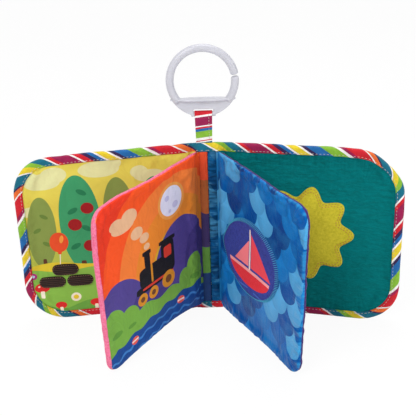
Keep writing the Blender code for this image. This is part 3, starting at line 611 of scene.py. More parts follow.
def boat_felt():
    """The oval patch's indigo cloth, printed with a small red boat with two sails."""
    f = Finish("indigo_felt", Roughness=0.85, Sheen_Weight=0.06, Specular_IOR_Level=0.25)
    x, y = f.split()
    left, right = f.sum("LESS_THAN", x, -0.0017), f.sum("GREATER_THAN", x, 0.0017)
    above = f.sum("GREATER_THAN", y, -0.0068)
    fluff = f.cloudy(0.0022, detail=5.0, rough=0.7)
    hull, deck = f.ovals((0, -9, 31.5, 16.5)), f.under(-0.0090)
    marks = [
        (ink("E2404E"), f.sum("MULTIPLY", f.under(0.0270, -1.02), f.sum("MULTIPLY", right, above))),
        (ink("EC7880"), f.sum("MULTIPLY", f.under(0.0200, 1.15), f.sum("MULTIPLY", left, above))),
        (ink("E8D8D0"), f.blocks((0, 3.5, 1, 25.5))),
        (ink("DA2432"), f.sum("MULTIPLY", hull, deck)),
        (ink("F09A9C"), f.sum("MULTIPLY", hull, f.sum("SUBTRACT", deck, f.under(-0.0120)))),
        (ink("3A5CB4"), f.blocks((-10, -28.5, 8, 0.8, 4), (13, -29.2, 6.5, 0.8, -4))),
    ]
    ground = f.mix(f.between(fluff, 0.35, 0.65), ink("222C80"), ink("2E3E9A"))
    return f.done(f.lay(ground, *marks), (f.weave(0.0006), 0.00006), (fluff, 0.0004), wear=0.06)


def corduroy():
    """Dark brown cloth with ribs that run along each log."""
    f = Finish("corduroy", Roughness=0.95, Sheen_Weight=0.1, Specular_IOR_Level=0.2)
    _, y = f.split()
    ribs = f.sum("MULTIPLY_ADD", f.sum("SINE", f.sum("MULTIPLY", y, math.tau / 0.0019)), 0.5, 0.5)
    colour = f.mix(ribs, ink("1A1310"), ink("443029"))
    return f.done(colour, (f.cloudy(0.0006), 0.0001), (ribs, 0.0006), wear=0.15, size=0.004)


def moulded_plastic():
    """White plastic with a faint bloom and fine scuffs."""
    f = Finish("white_plastic", Roughness=0.34, Specular_IOR_Level=0.5, Subsurface_Weight=0.06)
    f.shader.inputs["Subsurface Radius"].default_value = (0.002, 0.002, 0.003)
    haze = f.cloudy(0.012, detail=3.0)
    f.feed(f.shader.inputs["Roughness"], f.between(haze, 0.3, 0.7, 0.28, 0.42))
    colour = f.mix(f.between(haze, 0.3, 0.7), ink("B8B8C0"), ink("C0C0C8"))
    return f.done(colour, (f.cloudy(0.0008, detail=2.0), 0.000012), wear=0.02)


def thread(name, code):
    f = Finish(name, Roughness=0.6, Sheen_Weight=0.2)
    twist = f.add("ShaderNodeTexWave", bands_direction="DIAGONAL")
    f.feed(twist.inputs["Vector"], f.spot)
    twist.inputs["Scale"].default_value = 900
    colour = f.mix(f.sum("MULTIPLY", twist.outputs["Fac"], 0.3), ink(code), ink(code, 0.6))
    return f.done(colour, (twist.outputs["Fac"], 0.00004))


FINISH = {
    "sunny_print": cotton_print(),
    "sunset_print": sunset_print(),
    "scale_satin": scale_satin("scale_satin"),
    "teal_fleece": teal_fleece(),
    "pink_plush": pile("pink_plush", "E85A84", "F08CAA", 0.0016),
    "purple_cloth": woven("purple_cloth", "3A1C60", "5A3684"),
    "cover_cloth": dotted_cotton(),
    "striped_binding": bias_tape(),
    "striped_ribbon": ribbon_tape(),
    "orange_cloth": sunset_strip(),
    "corduroy": corduroy(),
    "yellow_felt": felt("yellow_felt", "B8AC26", "D2C436"),
    "indigo_felt": boat_felt(),
    "white_plastic": moulded_plastic(),
}
# A darker copy of the scale satin for the spine's blue band: its darkness is painted shade of the gutter, and it
# carries painted fold shade and highlights
SHADED_BAND_SATIN = scale_satin("scale_satin_shaded", 0.5, 0.6)
CREAM_THREAD = thread("cream_thread", "C8C0B4")
ORANGE_THREAD = thread("orange_thread", "B46A1C")
TURQUOISE_THREAD = thread("turquoise_thread", "2E9CC0")
BROWN_THREAD = thread("brown_thread", "8A6A48")


# Making cloth


def linked(name, data):
    piece = bpy.data.objects.new(name, data)
    bpy.context.scene.collection.objects.link(piece)
    return piece


def worked_in(piece):
    """The piece with its modifiers worked into its mesh."""
    graph = bpy.context.evaluated_depsgraph_get()
    mesh = bpy.data.meshes.new_from_object(piece.evaluated_get(graph), preserve_all_data_layers=True, depsgraph=graph)
    piece.modifiers.clear()
    piece.data = mesh
    return piece


def finer(piece, levels=1):
    """The piece with its faces divided and rounded."""
    divided = piece.modifiers.new("finer", "SUBSURF")
    divided.levels = divided.render_levels = levels
    return worked_in(piece)


def even_sided(mesh):
    """Makes a mesh's faces look the same way."""
    bm = bmesh.new()
    bm.from_mesh(mesh)
    bmesh.ops.recalc_face_normals(bm, faces=bm.faces[:])
    bm.to_mesh(mesh)
    bm.free()


def mark_cuts(mesh, flat):
    """Keeps each point's place on the cut cloth as the mesh's UV map."""
    layer = mesh.uv_layers.new(name="cut")
    for loop in mesh.loops:
        layer.data[loop.index].uv = flat[loop.vertex_index]


def grid_object(name, grid, cuts):
    """A sheet over a grid of places, with the cloth's cut sizes as its UV map."""
    tall, wide = len(grid), len(grid[0])
    faces = [
        (j * wide + i, j * wide + i + 1, (j + 1) * wide + i + 1, (j + 1) * wide + i)
        for j in range(tall - 1) for i in range(wide - 1)
    ]
    mesh = bpy.data.meshes.new(name)
    mesh.from_pydata([place for row in grid for place in row], [], faces)
    mark_cuts(mesh, [cut for row in cuts for cut in row])
    return linked(name, mesh)


def faced(piece, towards):
    """Turns a sheet's faces so that most of them look the given way."""
    total = sum((face.normal * face.area for face in piece.data.polygons), Vector())
    if total.dot(towards) < 0:
        piece.data.flip_normals()
    return piece


def walled(piece, finish, wall=CLOTH):
    """Gives a sheet its thickness, behind its face, and its finish."""
    piece.data.materials.append(finish)
    piece.data.shade_smooth()
    thick = piece.modifiers.new("wall", "SOLIDIFY")
    thick.thickness, thick.offset = wall, -1
    thick.use_even_offset = False
    return worked_in(piece)


def edge_measures(mesh, page):
    """Keeps, on each point of a page's cloth, how far it is from the seams and which seam is near."""
    edge = mesh.attributes.new("edge", "FLOAT", "POINT")
    rim = mesh.attributes.new("rim", "FLOAT_VECTOR", "POINT")
    for number, vert in enumerate(mesh.vertices):
        distance, nearest = page.edge(vert.co.x, vert.co.z)
        edge.data[number].value = max(distance, 0)
        rim.data[number].vector = (*nearest, page.seed)


def page_cloth(name, page, grid, cuts, finish, towards):
    """A cloth of a page, from a grid in the page's own measures: out, lift and up."""
    piece = finer(grid_object(name, grid, cuts))
    edge_measures(piece.data, page)
    for vert in piece.data.vertices:
        vert.co = page.place(*vert.co)
    return walled(faced(piece, page.reader * towards), finish)


def outline_rows(page, inset, corner_steps, side_steps):
    """Heights of a page's rows and how far out each reaches, round its two outer corners."""
    corner = page.corner - inset
    quarter = [math.pi / 2 * step / corner_steps for step in range(corner_steps + 1)]
    low = [(inset + corner * (1 - math.cos(a)), page.width - inset - corner * (1 - math.sin(a))) for a in quarter]
    side = page.height - 2 * inset - 2 * corner
    middle = [(inset + corner + side * step / side_steps, page.width - inset) for step in range(1, side_steps)]
    return low + middle + [(page.height - up, out) for up, out in reversed(low)]


def columns(start, reach, pitch, count):
    """How far out a row's points lie: close together at the crease, and then even."""
    close = [start, start / 2, 0.0, 0.0008, 0.0018, 0.0030]
    first = close[-1] + pitch
    return close + [first + (reach - first) * step / (count - 1) for step in range(count)]


class Pad:
    """The two cloths of a padded page, as grids in the page's own measures."""

    def __init__(self, page, inset, start, front, back, corner_steps=9, side_steps=34, count=50):
        self.page = page
        rows = outline_rows(page, inset, corner_steps, side_steps)
        self.flat = [[(out, up) for out in columns(start, reach, 0.0025, count)] for up, reach in rows]
        self.front = [[self.point(out, up, front) for out, up in row] for row in self.flat]
        self.back = [[self.point(out, up, back, -1) for out, up in row] for row in self.flat]

    def point(self, out, up, lift, side=1):
        edge, _ = self.page.edge(out, up)
        return Vector((out, side * min(lift(edge), 0.0005 + 0.9 * max(out, 0)), up))

    def settle(self, held, growth, pressure, soft, cap, frames=22):
        """Lets the two cloths crumple over their wadding, sewn together round the rim."""
        size = 10
        tall, wide = len(self.flat), len(self.flat[0])
        count = tall * wide
        places = [p * size for row in self.front + self.back for p in row]
        faces = []
        for j in range(tall - 1):
            for i in range(wide - 1):
                a, b, c, d = j * wide + i, j * wide + i + 1, (j + 1) * wide + i + 1, (j + 1) * wide + i
                faces += [(a, b, c, d), (count + d, count + c, count + b, count + a)]
        loop = [i for i in range(wide)] + [j * wide + wide - 1 for j in range(1, tall)]
        loop += [(tall - 1) * wide + i for i in range(wide - 2, -1, -1)] + [j * wide for j in range(tall - 2, 0, -1)]
        for one, two in zip(loop, loop[1:] + loop[:1]):
            faces.append((two, one, count + one, count + two))
        mesh = bpy.data.meshes.new("settling")
        mesh.from_pydata(places, [], faces)
        pad = linked("settling", mesh)
        group = pad.vertex_groups.new(name="held")
        for number in range(2 * count):
            out, up = self.flat[number % count // wide][number % count % wide]
            edge, _ = self.page.edge(out, up)
            near = 1 - min(max((min(edge - held, out - 0.004)) / 0.008, 0), 1)
            group.add([number], soft + (1 - soft) * near, "REPLACE")
        cloth = pad.modifiers.new("cloth", "CLOTH")
        cloth.settings.quality = 5
        cloth.settings.mass = 0.15
        cloth.settings.tension_stiffness = cloth.settings.compression_stiffness = 20
        cloth.settings.shear_stiffness = 10
        cloth.settings.bending_stiffness = 0.6
        cloth.settings.vertex_group_mass = "held"
        cloth.settings.shrink_min = -growth
        cloth.settings.use_pressure = True
        cloth.settings.uniform_pressure_force = pressure
        cloth.settings.effector_weights.gravity = 0
        cloth.collision_settings.use_collision = False
        cloth.point_cache.frame_start, cloth.point_cache.frame_end = 1, frames
        for step in range(1, frames + 1):
            bpy.context.scene.frame_set(step)
        graph = bpy.context.evaluated_depsgraph_get()
        settled = pad.evaluated_get(graph).to_mesh()
        for number, vert in enumerate(settled.vertices):
            row, column = divmod(number % count, wide)
            grid = self.front if number < count else self.back
            move = vert.co / size - grid[row][column]
            grid[row][column] += move * min(1, cap / max(move.length, 1e-9))
        bpy.context.scene.frame_set(1)
        bpy.data.objects.remove(pad, do_unlink=True)


def surface(*pieces):
    """The pieces' outside, to find places on."""
    verts, faces = [], []
    for piece in pieces:
        base = len(verts)
        verts += [vert.co.copy() for vert in piece.data.vertices]
        faces += [[base + k for k in face.vertices] for face in piece.data.polygons]
    return BVHTree.FromPolygons(verts, faces)


def across_path(tree, look, spots):
    """Places that a needle pushed along Y meets, at each x and z, and which way the cloth faces there."""
    path = []
    for x, z in spots:
        place, normal, _, _ = tree.ray_cast(Vector((x, -look * NEEDLE, z)), Vector((0, look, 0)), 2 * NEEDLE)
        if place:
            path.append((place, normal if normal.y * look < 0 else -normal))
    return path


def found_on(tree, page, out, up, side=1):
    """Where a needle pushed straight at the page from one side meets it, and which way that face looks."""
    start = page.place(out, side * NEEDLE, up)
    place, normal, _, _ = tree.ray_cast(start, page.reader * -side, 2 * NEEDLE)
    if place is None:
        return page.place(out, side * 0.002, up), page.reader * side
    if normal.dot(page.reader * side) < 0:
        normal = -normal
    return place, normal


# Stitches


def stitch_tree():
    """Thread laid along a path in even stitches; each lies on the cloth, which the path's points know."""
    tree = bpy.data.node_groups.new("stitches", "GeometryNodeTree")
    face = tree.interface
    face.new_socket("Path", in_out="INPUT", socket_type="NodeSocketGeometry")
    for name in ("Pitch", "Stitch", "Thread", "Turn"):
        face.new_socket(name, in_out="INPUT", socket_type="NodeSocketFloat")
    face.new_socket("Finish", in_out="INPUT", socket_type="NodeSocketMaterial")
    face.new_socket("Stitches", in_out="OUTPUT", socket_type="NodeSocketGeometry")

    def add(kind, **settings):
        node = tree.nodes.new(kind)
        for key, value in settings.items():
            setattr(node, key, value)
        return node

    link = tree.links.new
    given = add("NodeGroupInput")
    curve = add("GeometryNodeMeshToCurve")
    even = add("GeometryNodeResampleCurve", mode="LENGTH")
    link(given.outputs["Path"], curve.inputs["Mesh"])
    link(curve.outputs[0], even.inputs["Curve"])
    link(given.outputs["Pitch"], even.inputs["Length"])
    ball = add("GeometryNodeMeshUVSphere")
    ball.inputs["Segments"].default_value, ball.inputs["Rings"].default_value = 6, 5
    ball.inputs["Radius"].default_value = 0.5
    size = add("ShaderNodeCombineXYZ")
    doubled = add("ShaderNodeMath", operation="MULTIPLY")
    doubled.inputs[1].default_value = 2
    link(given.outputs["Thread"], doubled.inputs[0])
    link(given.outputs["Stitch"], size.inputs["X"])
    link(doubled.outputs[0], size.inputs["Y"])
    link(doubled.outputs[0], size.inputs["Z"])
    along = add("FunctionNodeAlignRotationToVector", axis="X")
    link(add("GeometryNodeInputTangent").outputs[0], along.inputs["Vector"])
    upright = add("FunctionNodeAlignRotationToVector", axis="Z", pivot_axis="X")
    outwards = add("GeometryNodeInputNamedAttribute", data_type="FLOAT_VECTOR")
    outwards.inputs["Name"].default_value = "outwards"
    link(along.outputs[0], upright.inputs["Rotation"])
    link(outwards.outputs["Attribute"], upright.inputs["Vector"])
    turn = add("FunctionNodeRotateRotation", rotation_space="LOCAL")
    angle = add("ShaderNodeCombineXYZ")
    link(given.outputs["Turn"], angle.inputs["Z"])
    link(upright.outputs[0], turn.inputs["Rotation"])
    link(angle.outputs[0], turn.inputs["Rotate By"])
    laid = add("GeometryNodeInstanceOnPoints")
    link(even.outputs[0], laid.inputs["Points"])
    link(ball.outputs["Mesh"], laid.inputs["Instance"])
    link(turn.outputs[0], laid.inputs["Rotation"])
    link(size.outputs[0], laid.inputs["Scale"])
    real = add("GeometryNodeRealizeInstances")
    dyed = add("GeometryNodeSetMaterial")
    link(laid.outputs[0], real.inputs[0])
    link(real.outputs[0], dyed.inputs["Geometry"])
    link(given.outputs["Finish"], dyed.inputs["Material"])
    link(dyed.outputs[0], add("NodeGroupOutput").inputs[0])
    return tree


STITCHES = stitch_tree()


def stitched(name, path, finish, pitch=0.0032, stitch=0.0021, thread=0.00021, turn=0.0, closed=False):
    """A row of stitches along places that each come with the way their cloth faces."""
    mesh = bpy.data.meshes.new(name)
    count = len(path)
    edges = [(k, (k + 1) % count) for k in range(count if closed else count - 1)]
    mesh.from_pydata([place + normal * thread * 0.6 for place, normal in path], edges, [])
    outwards = mesh.attributes.new("outwards", "FLOAT_VECTOR", "POINT")
    for number, (_, normal) in enumerate(path):
        outwards.data[number].vector = normal
    row = linked(name, mesh)
    sewing = row.modifiers.new("sewing", "NODES")
    sewing.node_group = STITCHES
    given = {"Pitch": pitch, "Stitch": stitch, "Thread": thread, "Turn": turn, "Finish": finish}
    for item in STITCHES.interface.items_tree:
        if item.in_out == "INPUT" and item.name in given:
            sewing[item.identifier] = given[item.name]
    worked_in(row)
    row.data.shade_smooth()
    return row


def rim_path(page, inset, start, step=0.003):
    """Places along the bottom, round the corners and back along the top, a set distance in."""
    corner = max(page.corner - inset, 0.0005)
    straight = page.width - inset - corner
    count = max(2, round((straight - start) / step))
    path = [(start + (straight - start) * k / count, inset) for k in range(count)]
    turns = max(4, round(corner * math.pi / 2 / step))
    quarter = [math.pi / 2 * k / turns for k in range(turns + 1)]
    path += [(straight + corner * math.sin(a), inset + corner - corner * math.cos(a)) for a in quarter]
    side = page.height - 2 * (inset + corner)
    count = round(side / step)
    path += [(page.width - inset, inset + corner + side * k / count) for k in range(1, count)]
    return path + [(out, page.height - up) for out, up in reversed(path[: -(count - 1)])]


def riding(piece, body, nodes=(), to=None):
    """Puts a finished piece on its body, or, when to is given, works its place into its mesh and leaves it without a
    parent; and hides the CAD parts it stands for.
    """
    if to:
        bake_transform(piece)
    else:
        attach(piece, body)
    if nodes:
        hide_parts(*nodes)


# Covers


def cover_lift(edge):
    return 0.0017 + 0.0015 * swell(edge, 0.0070, 0.024)


def binding_rows(page, start):
    """The binding's stations: places on the outline and the way in from each."""
    rows = []
    for out, up in rim_path(page, 0.0, start, 0.0026):
        if out > page.width - page.corner and (up < page.corner or up > page.height - page.corner):
            middle = (page.width - page.corner, page.corner if up < page.corner else page.height - page.corner)
            inward = Vector((middle[0] - out, middle[1] - up)).normalized()
        elif out >= page.width - 1e-6:
            inward = Vector((-1, 0))
        else:
            inward = Vector((0, 1 if up < page.height / 2 else -1))
        rows.append((out, up, inward))
    return rows


# Half of the folded tape's section: how deep in from the edge, and its lift, as shares of its own sizes
HALF_SECTION = (
    (1.0, 0.80), (0.985, 0.97), (0.93, 1.04), (0.80, 1.04), (0.62, 1.00), (0.42, 1.06), (0.20, 1.0),
    (0.07, 0.76), (0.0, 0.36),
)
BINDING_SECTION = HALF_SECTION + tuple((depth, -lift) for depth, lift in reversed(HALF_SECTION))


# One long tape runs round the book: where each piece of it starts, and which way it runs
HALF_SPINE = SPINE_HALF + GUTTER / 2
COVER_STATIONS = binding_rows(LEFT_COVER, -GUTTER / 2)
COVER_RUN = sum(math.dist(one[:2], two[:2]) for one, two in zip(COVER_STATIONS, COVER_STATIONS[1:]))
TAPE_RUNS = {
    ("left", "bottom"): (0, 1),
    ("left", "cover"): (HALF_SPINE, 1),
    ("left", "top"): (2 * HALF_SPINE + COVER_RUN, -1),
    ("right", "top"): (2 * HALF_SPINE + COVER_RUN, 1),
    ("right", "cover"): (3 * HALF_SPINE + 2 * COVER_RUN, -1),
    ("right", "bottom"): (4 * HALF_SPINE + 2 * COVER_RUN, -1),
}


def binding_sheet(name, page, stations, thin, tape):
    """Binding folded over an edge: the section at each station. tape is its start and way on the long tape."""
    grid, cuts = [], []
    girth = [0.0]
    for (a, b), (c, d) in zip(BINDING_SECTION, BINDING_SECTION[1:]):
        girth.append(girth[-1] + math.hypot((c - a) * BINDING, (d - b) * BINDING_LIFT))
    run, last = 0.0, None
    for out, up, inward in stations:
        if last:
            run += math.hypot(out - last[0], up - last[1])
        last = (out, up)
        row = []
        for depth, lift in BINDING_SECTION:
            spot_out, spot_up = out + inward[0] * depth * BINDING, up + inward[1] * depth * BINDING
            row.append(Vector((spot_out, lift * BINDING_LIFT * thin(spot_out), spot_up)))
        grid.append(row)
        cuts.append([(tape[0] + tape[1] * run, across) for across in girth])
    piece = finer(grid_object(name, grid, cuts))
    for vert in piece.data.vertices:
        vert.co = page.place(*vert.co)
    even_sided(piece.data)
    return piece


def outward_binding(piece, place, normal):
    """Makes sure that a binding's faces look away from its edge."""
    nearest = min(piece.data.polygons, key=lambda face: (face.center - place).length)
    if nearest.normal.dot(normal) < 0:
        piece.data.flip_normals()
    return walled(piece, FINISH["striped_binding"], 0.0005)


def dress_cover(page, front_slot):
    hand = page.hand
    name = f"{hand}_cover"
    pad = Pad(page, 0.0010, -GUTTER / 2, cover_lift, cover_lift)
    pad.settle(held=0.0070, growth=0.035, pressure=0.6, soft=0.02, cap=0.0022)
    cloths = {}
    for label, side, grid, slot, nodes in (
        ("front", 1, pad.front, front_slot, (f"{name}_page", f"{name}_wadding")),
        ("outside", -1, pad.back, "cover_cloth", (f"{name}_back", f"{hand}_gutter")),
    ):
        cloths[label] = page_cloth(f"{name}_{label}", page, grid, pad.flat, FINISH[slot], side)
        riding(cloths[label], f"{hand}_gutter", nodes, f"{hand}_cover")
    binding = binding_sheet(
        f"{name}_edge_binding", page, COVER_STATIONS,
        lambda out: min(1, 0.24 + max(out, 0) / 0.0038), TAPE_RUNS[hand, "cover"],
    )
    binding = outward_binding(binding, page.place(page.width * 0.5, 0, page.height), Vector((0, 0, 1)))
    riding(binding, f"{hand}_gutter", (f"{name}_binding",), f"{hand}_cover")
    tree = surface(binding)
    for side in (1, -1):
        path = [found_on(tree, page, out, up, side) for out, up in rim_path(page, STITCH_LINE, 0.006)]
        row = stitched(f"{name}_binding_stitches_{'front' if side > 0 else 'outside'}", path, CREAM_THREAD)
        riding(row, f"{hand}_cover")
    return cloths["front"]


LEFT_FRONT = dress_cover(LEFT_COVER, "sunny_print")
RIGHT_FRONT = dress_cover(RIGHT_COVER, "teal_fleece")


# Leaves


def leaf_front_lift(edge):
    return 0.0026 + 0.0012 * swell(edge, 0.0015, 0.016)


def leaf_back_lift(edge):
    return 0.0022 + 0.0010 * swell(edge, 0.0010, 0.016)


def rolled(pad, face, roll, wrap=None):
    """A cloth of a leaf, rolled on round the edge as roll says; wrap is the top's and the foot's share of it."""
    page = pad.page
    extra = len(roll)
    tall, wide = len(pad.flat), len(pad.flat[0])
    rims = [outline_rows(page, depth, 7, 36) for depth, _ in roll]
    grid, cuts = [], []
    for j in range(tall + 2 * extra):
        line, cut = [], []
        for i in range(wide + extra):
            ring = min(j, tall + 2 * extra - 1 - j, wide + extra - 1 - i)
            row = min(max(j - extra, 0), tall - 1)
            column = min(i, wide - 1)
            if ring >= extra:
                line.append(face[row][column])
                cut.append(pad.flat[row][column])
                continue
            depth, lift = roll[extra - 1 - ring]
            up, reach = rims[extra - 1 - ring][row]
            out = columns(-ROOT / 2, reach, 0.0025, wide - 6)[column]
            if wrap:
                _, (rim_out, rim_up) = page.edge(out, up)
                across = abs(rim_up - up) / max(math.hypot(rim_out - out, rim_up - up), 1e-9)
                lift *= 1 - (1 - wrap) * across * (lift > 0)
            most = 0.0005 + 0.9 * max(out, 0)
            line.append(Vector((out, min(max(lift, -most), most), up)))
            cut.append((out + (extra - ring) * 0.0015, up))
        grid.append(line)
        cuts.append(cut)
    return grid, cuts


# Depth in from the outline, and lift, from the flat cloth's rim onwards
PINK_ROLL = (
    (0.0006, -0.0024), (0.0000, -0.0014), (-0.0003, 0.0000), (-0.0002, 0.0014),
    (0.0003, 0.0026), (0.0010, 0.0032), (0.0017, 0.0031), (0.0021, 0.0023),
)
PRINT_ROLL = ((0.0008, 0.0025), (0.0005, 0.0019), (0.0005, 0.0010), (0.0012, 0.0004))
PURPLE_ROLL = ((0.0006, -0.0024), (0.0001, -0.0015), (-0.0001, -0.0006), (0.0008, -0.0001))
SATIN_ROLL = ((0.0006, 0.0026), (-0.0001, 0.0018), (-0.0003, 0.0007), (0.0000, -0.0003), (0.0009, -0.0004))


def dress_leaf(page, front_slot, back_slot, front_roll, back_roll):
    hand = page.hand
    name = f"{hand}_leaf"
    pad = Pad(page, 0.0012, -ROOT / 2, leaf_front_lift, leaf_back_lift, 7, 36, 44)
    pad.settle(held=0.0015, growth=0.045, pressure=0.5, soft=0.015, cap=0.0022)
    grid, cuts = rolled(pad, pad.front, front_roll)
    front = page_cloth(f"{name}_print", page, grid, cuts, FINISH[front_slot], 1)
    nodes = (f"{name}_front", f"{name}_wadding", f"{name}_crinkle_film")
    riding(front, f"{name}_root", nodes, name)
    grid, cuts = rolled(pad, pad.back, back_roll, 0.4)
    back = page_cloth(f"{name}_rolled_back", page, grid, cuts, FINISH[back_slot], -1)
    riding(back, f"{name}_root", (f"{name}_back",), name)
    return front


dress_leaf(LEFT_LEAF, "sunset_print", "pink_plush", PRINT_ROLL, PINK_ROLL)
RIGHT_PRINT = dress_leaf(RIGHT_LEAF, "scale_satin", "purple_cloth", SATIN_ROLL, PURPLE_ROLL)


# Spine and roots


def spine_sheet(name, side, outs, lift, ups, finish, towards):
    """A cloth along half of the spine."""
    grid = [[side.place(out, lift(out, up), up) for out in outs] for up in ups]
    piece = finer(grid_object(name, grid, [[(-out, up) for out in outs] for up in ups]))
    return walled(faced(piece, Vector((0, -towards, 0))), finish)


def steps(low, high, pitch):
    count = max(1, round((high - low) / pitch))
    return [low + (high - low) * k / count for k in range(count + 1)]


def dress_spine():
    page_slots = {"left": "sunny_print", "right": "teal_fleece"}
    for side in SPINE_SIDES:
        hand = side.hand
        tall = steps(0.0012, side.height - 0.0012, 0.003)
        wide = steps(0.0, SPINE_HALF + GUTTER / 2, 0.0011)

        def behind(out, up):
            crease = SPINE_HALF - min(out, SPINE_HALF)
            wrinkle = 0.00018 * noise.noise((out / 0.004, up / 0.012, 5.0))
            return -0.0005 - min(0.0013, 0.9 * crease) + wrinkle * (crease > 0.001)

        back = spine_sheet(f"{hand}_spine_outside", side, wide, behind, tall, FINISH["cover_cloth"], -1)
        nodes = ("spine_back", "spine_wadding") if hand == "left" else ()
        riding(back, "spine", nodes, f"{hand}_gutter")

        inner = steps(0.0074, SPINE_HALF + GUTTER / 2, 0.0009)
        strip = spine_sheet(
            f"{hand}_spine_inside", side, inner, lambda out, up: 0.0006 + min(0.0007, 0.9 * max(SPINE_HALF - out, 0)),
            tall, FINISH[page_slots[hand]], 1,
        )
        riding(strip, "spine", (), f"{hand}_gutter")

        for edge, inward, end_name in ((0.0, 1, "bottom"), (side.height, -1, "top")):
            stations = [(out, edge, (0, inward)) for out in wide]
            binding = binding_sheet(
                f"{hand}_spine_{end_name}_tape", side, stations,
                lambda out: min(0.98, 0.24 + max(SPINE_HALF - out, 0) / 0.0038), TAPE_RUNS[hand, end_name],
            )
            binding = outward_binding(binding, Vector((side.way * 0.005, 0, edge)), Vector((0, 0, -inward)))
            nodes = (f"spine_binding_{end_name}",) if hand == "left" else ()
            riding(binding, "spine", nodes, f"{hand}_gutter")
            tree = surface(binding)
            for look in (1, -1):
                up = edge + inward * STITCH_LINE
                spots = [(side.way * out, up) for out in steps(0.0008, SPINE_HALF - 0.003, 0.001)]
                label = f"{hand}_spine_{end_name}_stitches_{'front' if look > 0 else 'outside'}"
                row = stitched(label, across_path(tree, look, spots), CREAM_THREAD)
                riding(row, "spine")

        slot = "orange_cloth" if hand == "left" else "scale_satin"
        node = "centre_band_orange" if hand == "left" else "centre_band_blue"

        def puckered(out, up):
            pull = math.sin(math.pi * min(max(out / 0.0078, 0), 1))
            pucker, pitch = (0.0007, 0.0050) if hand == "left" else (0.0026, 0.0032)
            return 0.0014 + 0.0007 * pull + pucker * noise.noise((out / 0.016, up / pitch, 3.0)) * pull

        # the blue band takes the darker satin copy, whose darkness is painted gutter shade
        cloth = FINISH[slot] if hand == "left" else SHADED_BAND_SATIN
        band = spine_sheet(
            f"{hand}_centre_band", side, steps(0.0002, 0.0080, 0.0009), puckered,
            steps(0.0075, side.height - 0.0075, 0.0011), cloth, 1,
        )
        riding(band, "spine", (node,))


dress_spine()


def dress_root(page, slot, back_slot):
    """The strip at a leaf's foot, from the spine's crease to its own middle."""
    hand = page.hand
    way = -1 if hand == "left" else 1
    base = Vector((way * ROOT_MIDDLE, -0.00238, 0))
    low, high = 0.0082, COVER[1] - 0.0082
    outs = steps(-0.0004, ROOT / 2 + 0.0002, 0.0006)
    ups = steps(low, high, 0.0025)
    for side, finish, label in ((1, slot, "front"), (-1, back_slot, "behind")):
        def place(out, up):
            lift = 0.00045 + 0.0001 * noise.noise((up / 0.005, out / 0.004, 7.0 + side))
            return base + page.out * out + page.reader * side * lift + Vector((0, 0, up))

        grid = [[place(out, up) for out in outs] for up in ups]
        cuts = [[(out - ROOT, up) for out in outs] for up in ups]
        strip = grid_object(f"{hand}_root_{label}", grid, cuts)
        strip = walled(faced(strip, page.reader * side), FINISH[finish])
        riding(strip, "spine", ((f"{hand}_leaf_root",) if side > 0 else ()), f"{hand}_leaf_root")


dress_root(LEFT_LEAF, "sunset_print", "pink_plush")
dress_root(RIGHT_LEAF, "scale_satin", "purple_cloth")


# Sewn patches


def patch(name, page, ground, middle, outline, finish, thick=0.0016, rim=0.003, rings=12, sides=132):
    """A padded patch whose rim is sewn down to its page. outline gives its reach in a direction."""
    tree = surface(ground)
    top, cuts = [], []
    for share in [0.03, *[0.08 + 0.92 * (1 - (1 - k / rings) ** 1.4) for k in range(rings + 1)]]:
        ring, cut = [], []
        for k in range(sides):
            reach = Vector(outline(math.tau * k / sides))
            out, up = middle[0] + reach.x * share, middle[1] + reach.y * share
            place, _ = found_on(tree, page, out, up)
            depth = reach.length * (1 - share)
            lift = 0.00015 + thick * math.sqrt(swell(depth, 0, rim))
            lift += 0.00018 * noise.noise((out / 0.006, up / 0.006, 2.0)) * (depth > 0.001)
            ring.append(place + page.reader * lift)
            cut.append((reach.x * share, reach.y * share))
        top.append(ring)
        cuts.append(cut)
    mesh = bpy.data.meshes.new(name)
    verts = [place for ring in top for place in ring] + [place - page.reader * 0.0009 for place in top[-1]]
    flat = [cut for ring in cuts for cut in ring] + cuts[-1]
    faces = [tuple(range(sides))]
    for j in range(len(top)):
        for k in range(sides):
            after = (k + 1) % sides
            faces.append((j * sides + k, (j + 1) * sides + k, (j + 1) * sides + after, j * sides + after))
    faces.append(tuple(range((len(top) + 1) * sides - 1, len(top) * sides - 1, -1)))
    mesh.from_pydata(verts, [], faces)
    mark_cuts(mesh, flat)
    even_sided(mesh)
    mesh.materials.append(finish)
    mesh.shade_smooth()
    return linked(name, mesh)


def around(tree, page, middle, outline, inset, count=240):
    """Places a set distance inside a patch's outline, on whatever lies there."""
    path = []
    for k in range(count):
        reach = Vector(outline(math.tau * k / count))
        reach *= 1 - inset / reach.length
        path.append(found_on(tree, page, middle[0] + reach.x, middle[1] + reach.y))
    return path


def sun_outline(turn):
    radius = 0.0400 + 0.0050 * math.cos(9 * turn)
    return radius * math.cos(turn), radius * math.sin(turn)


def oval_outline(turn):
    return 0.042 * math.cos(turn), 0.035 * math.sin(turn)


def log_outline(turn):
    radius, run = 0.00575, 0.012 - 0.00575
    along = max(-1, min(1, math.cos(turn) * 0.024 / 0.0115))
    return along * run + radius * math.cos(turn), radius * math.sin(turn)


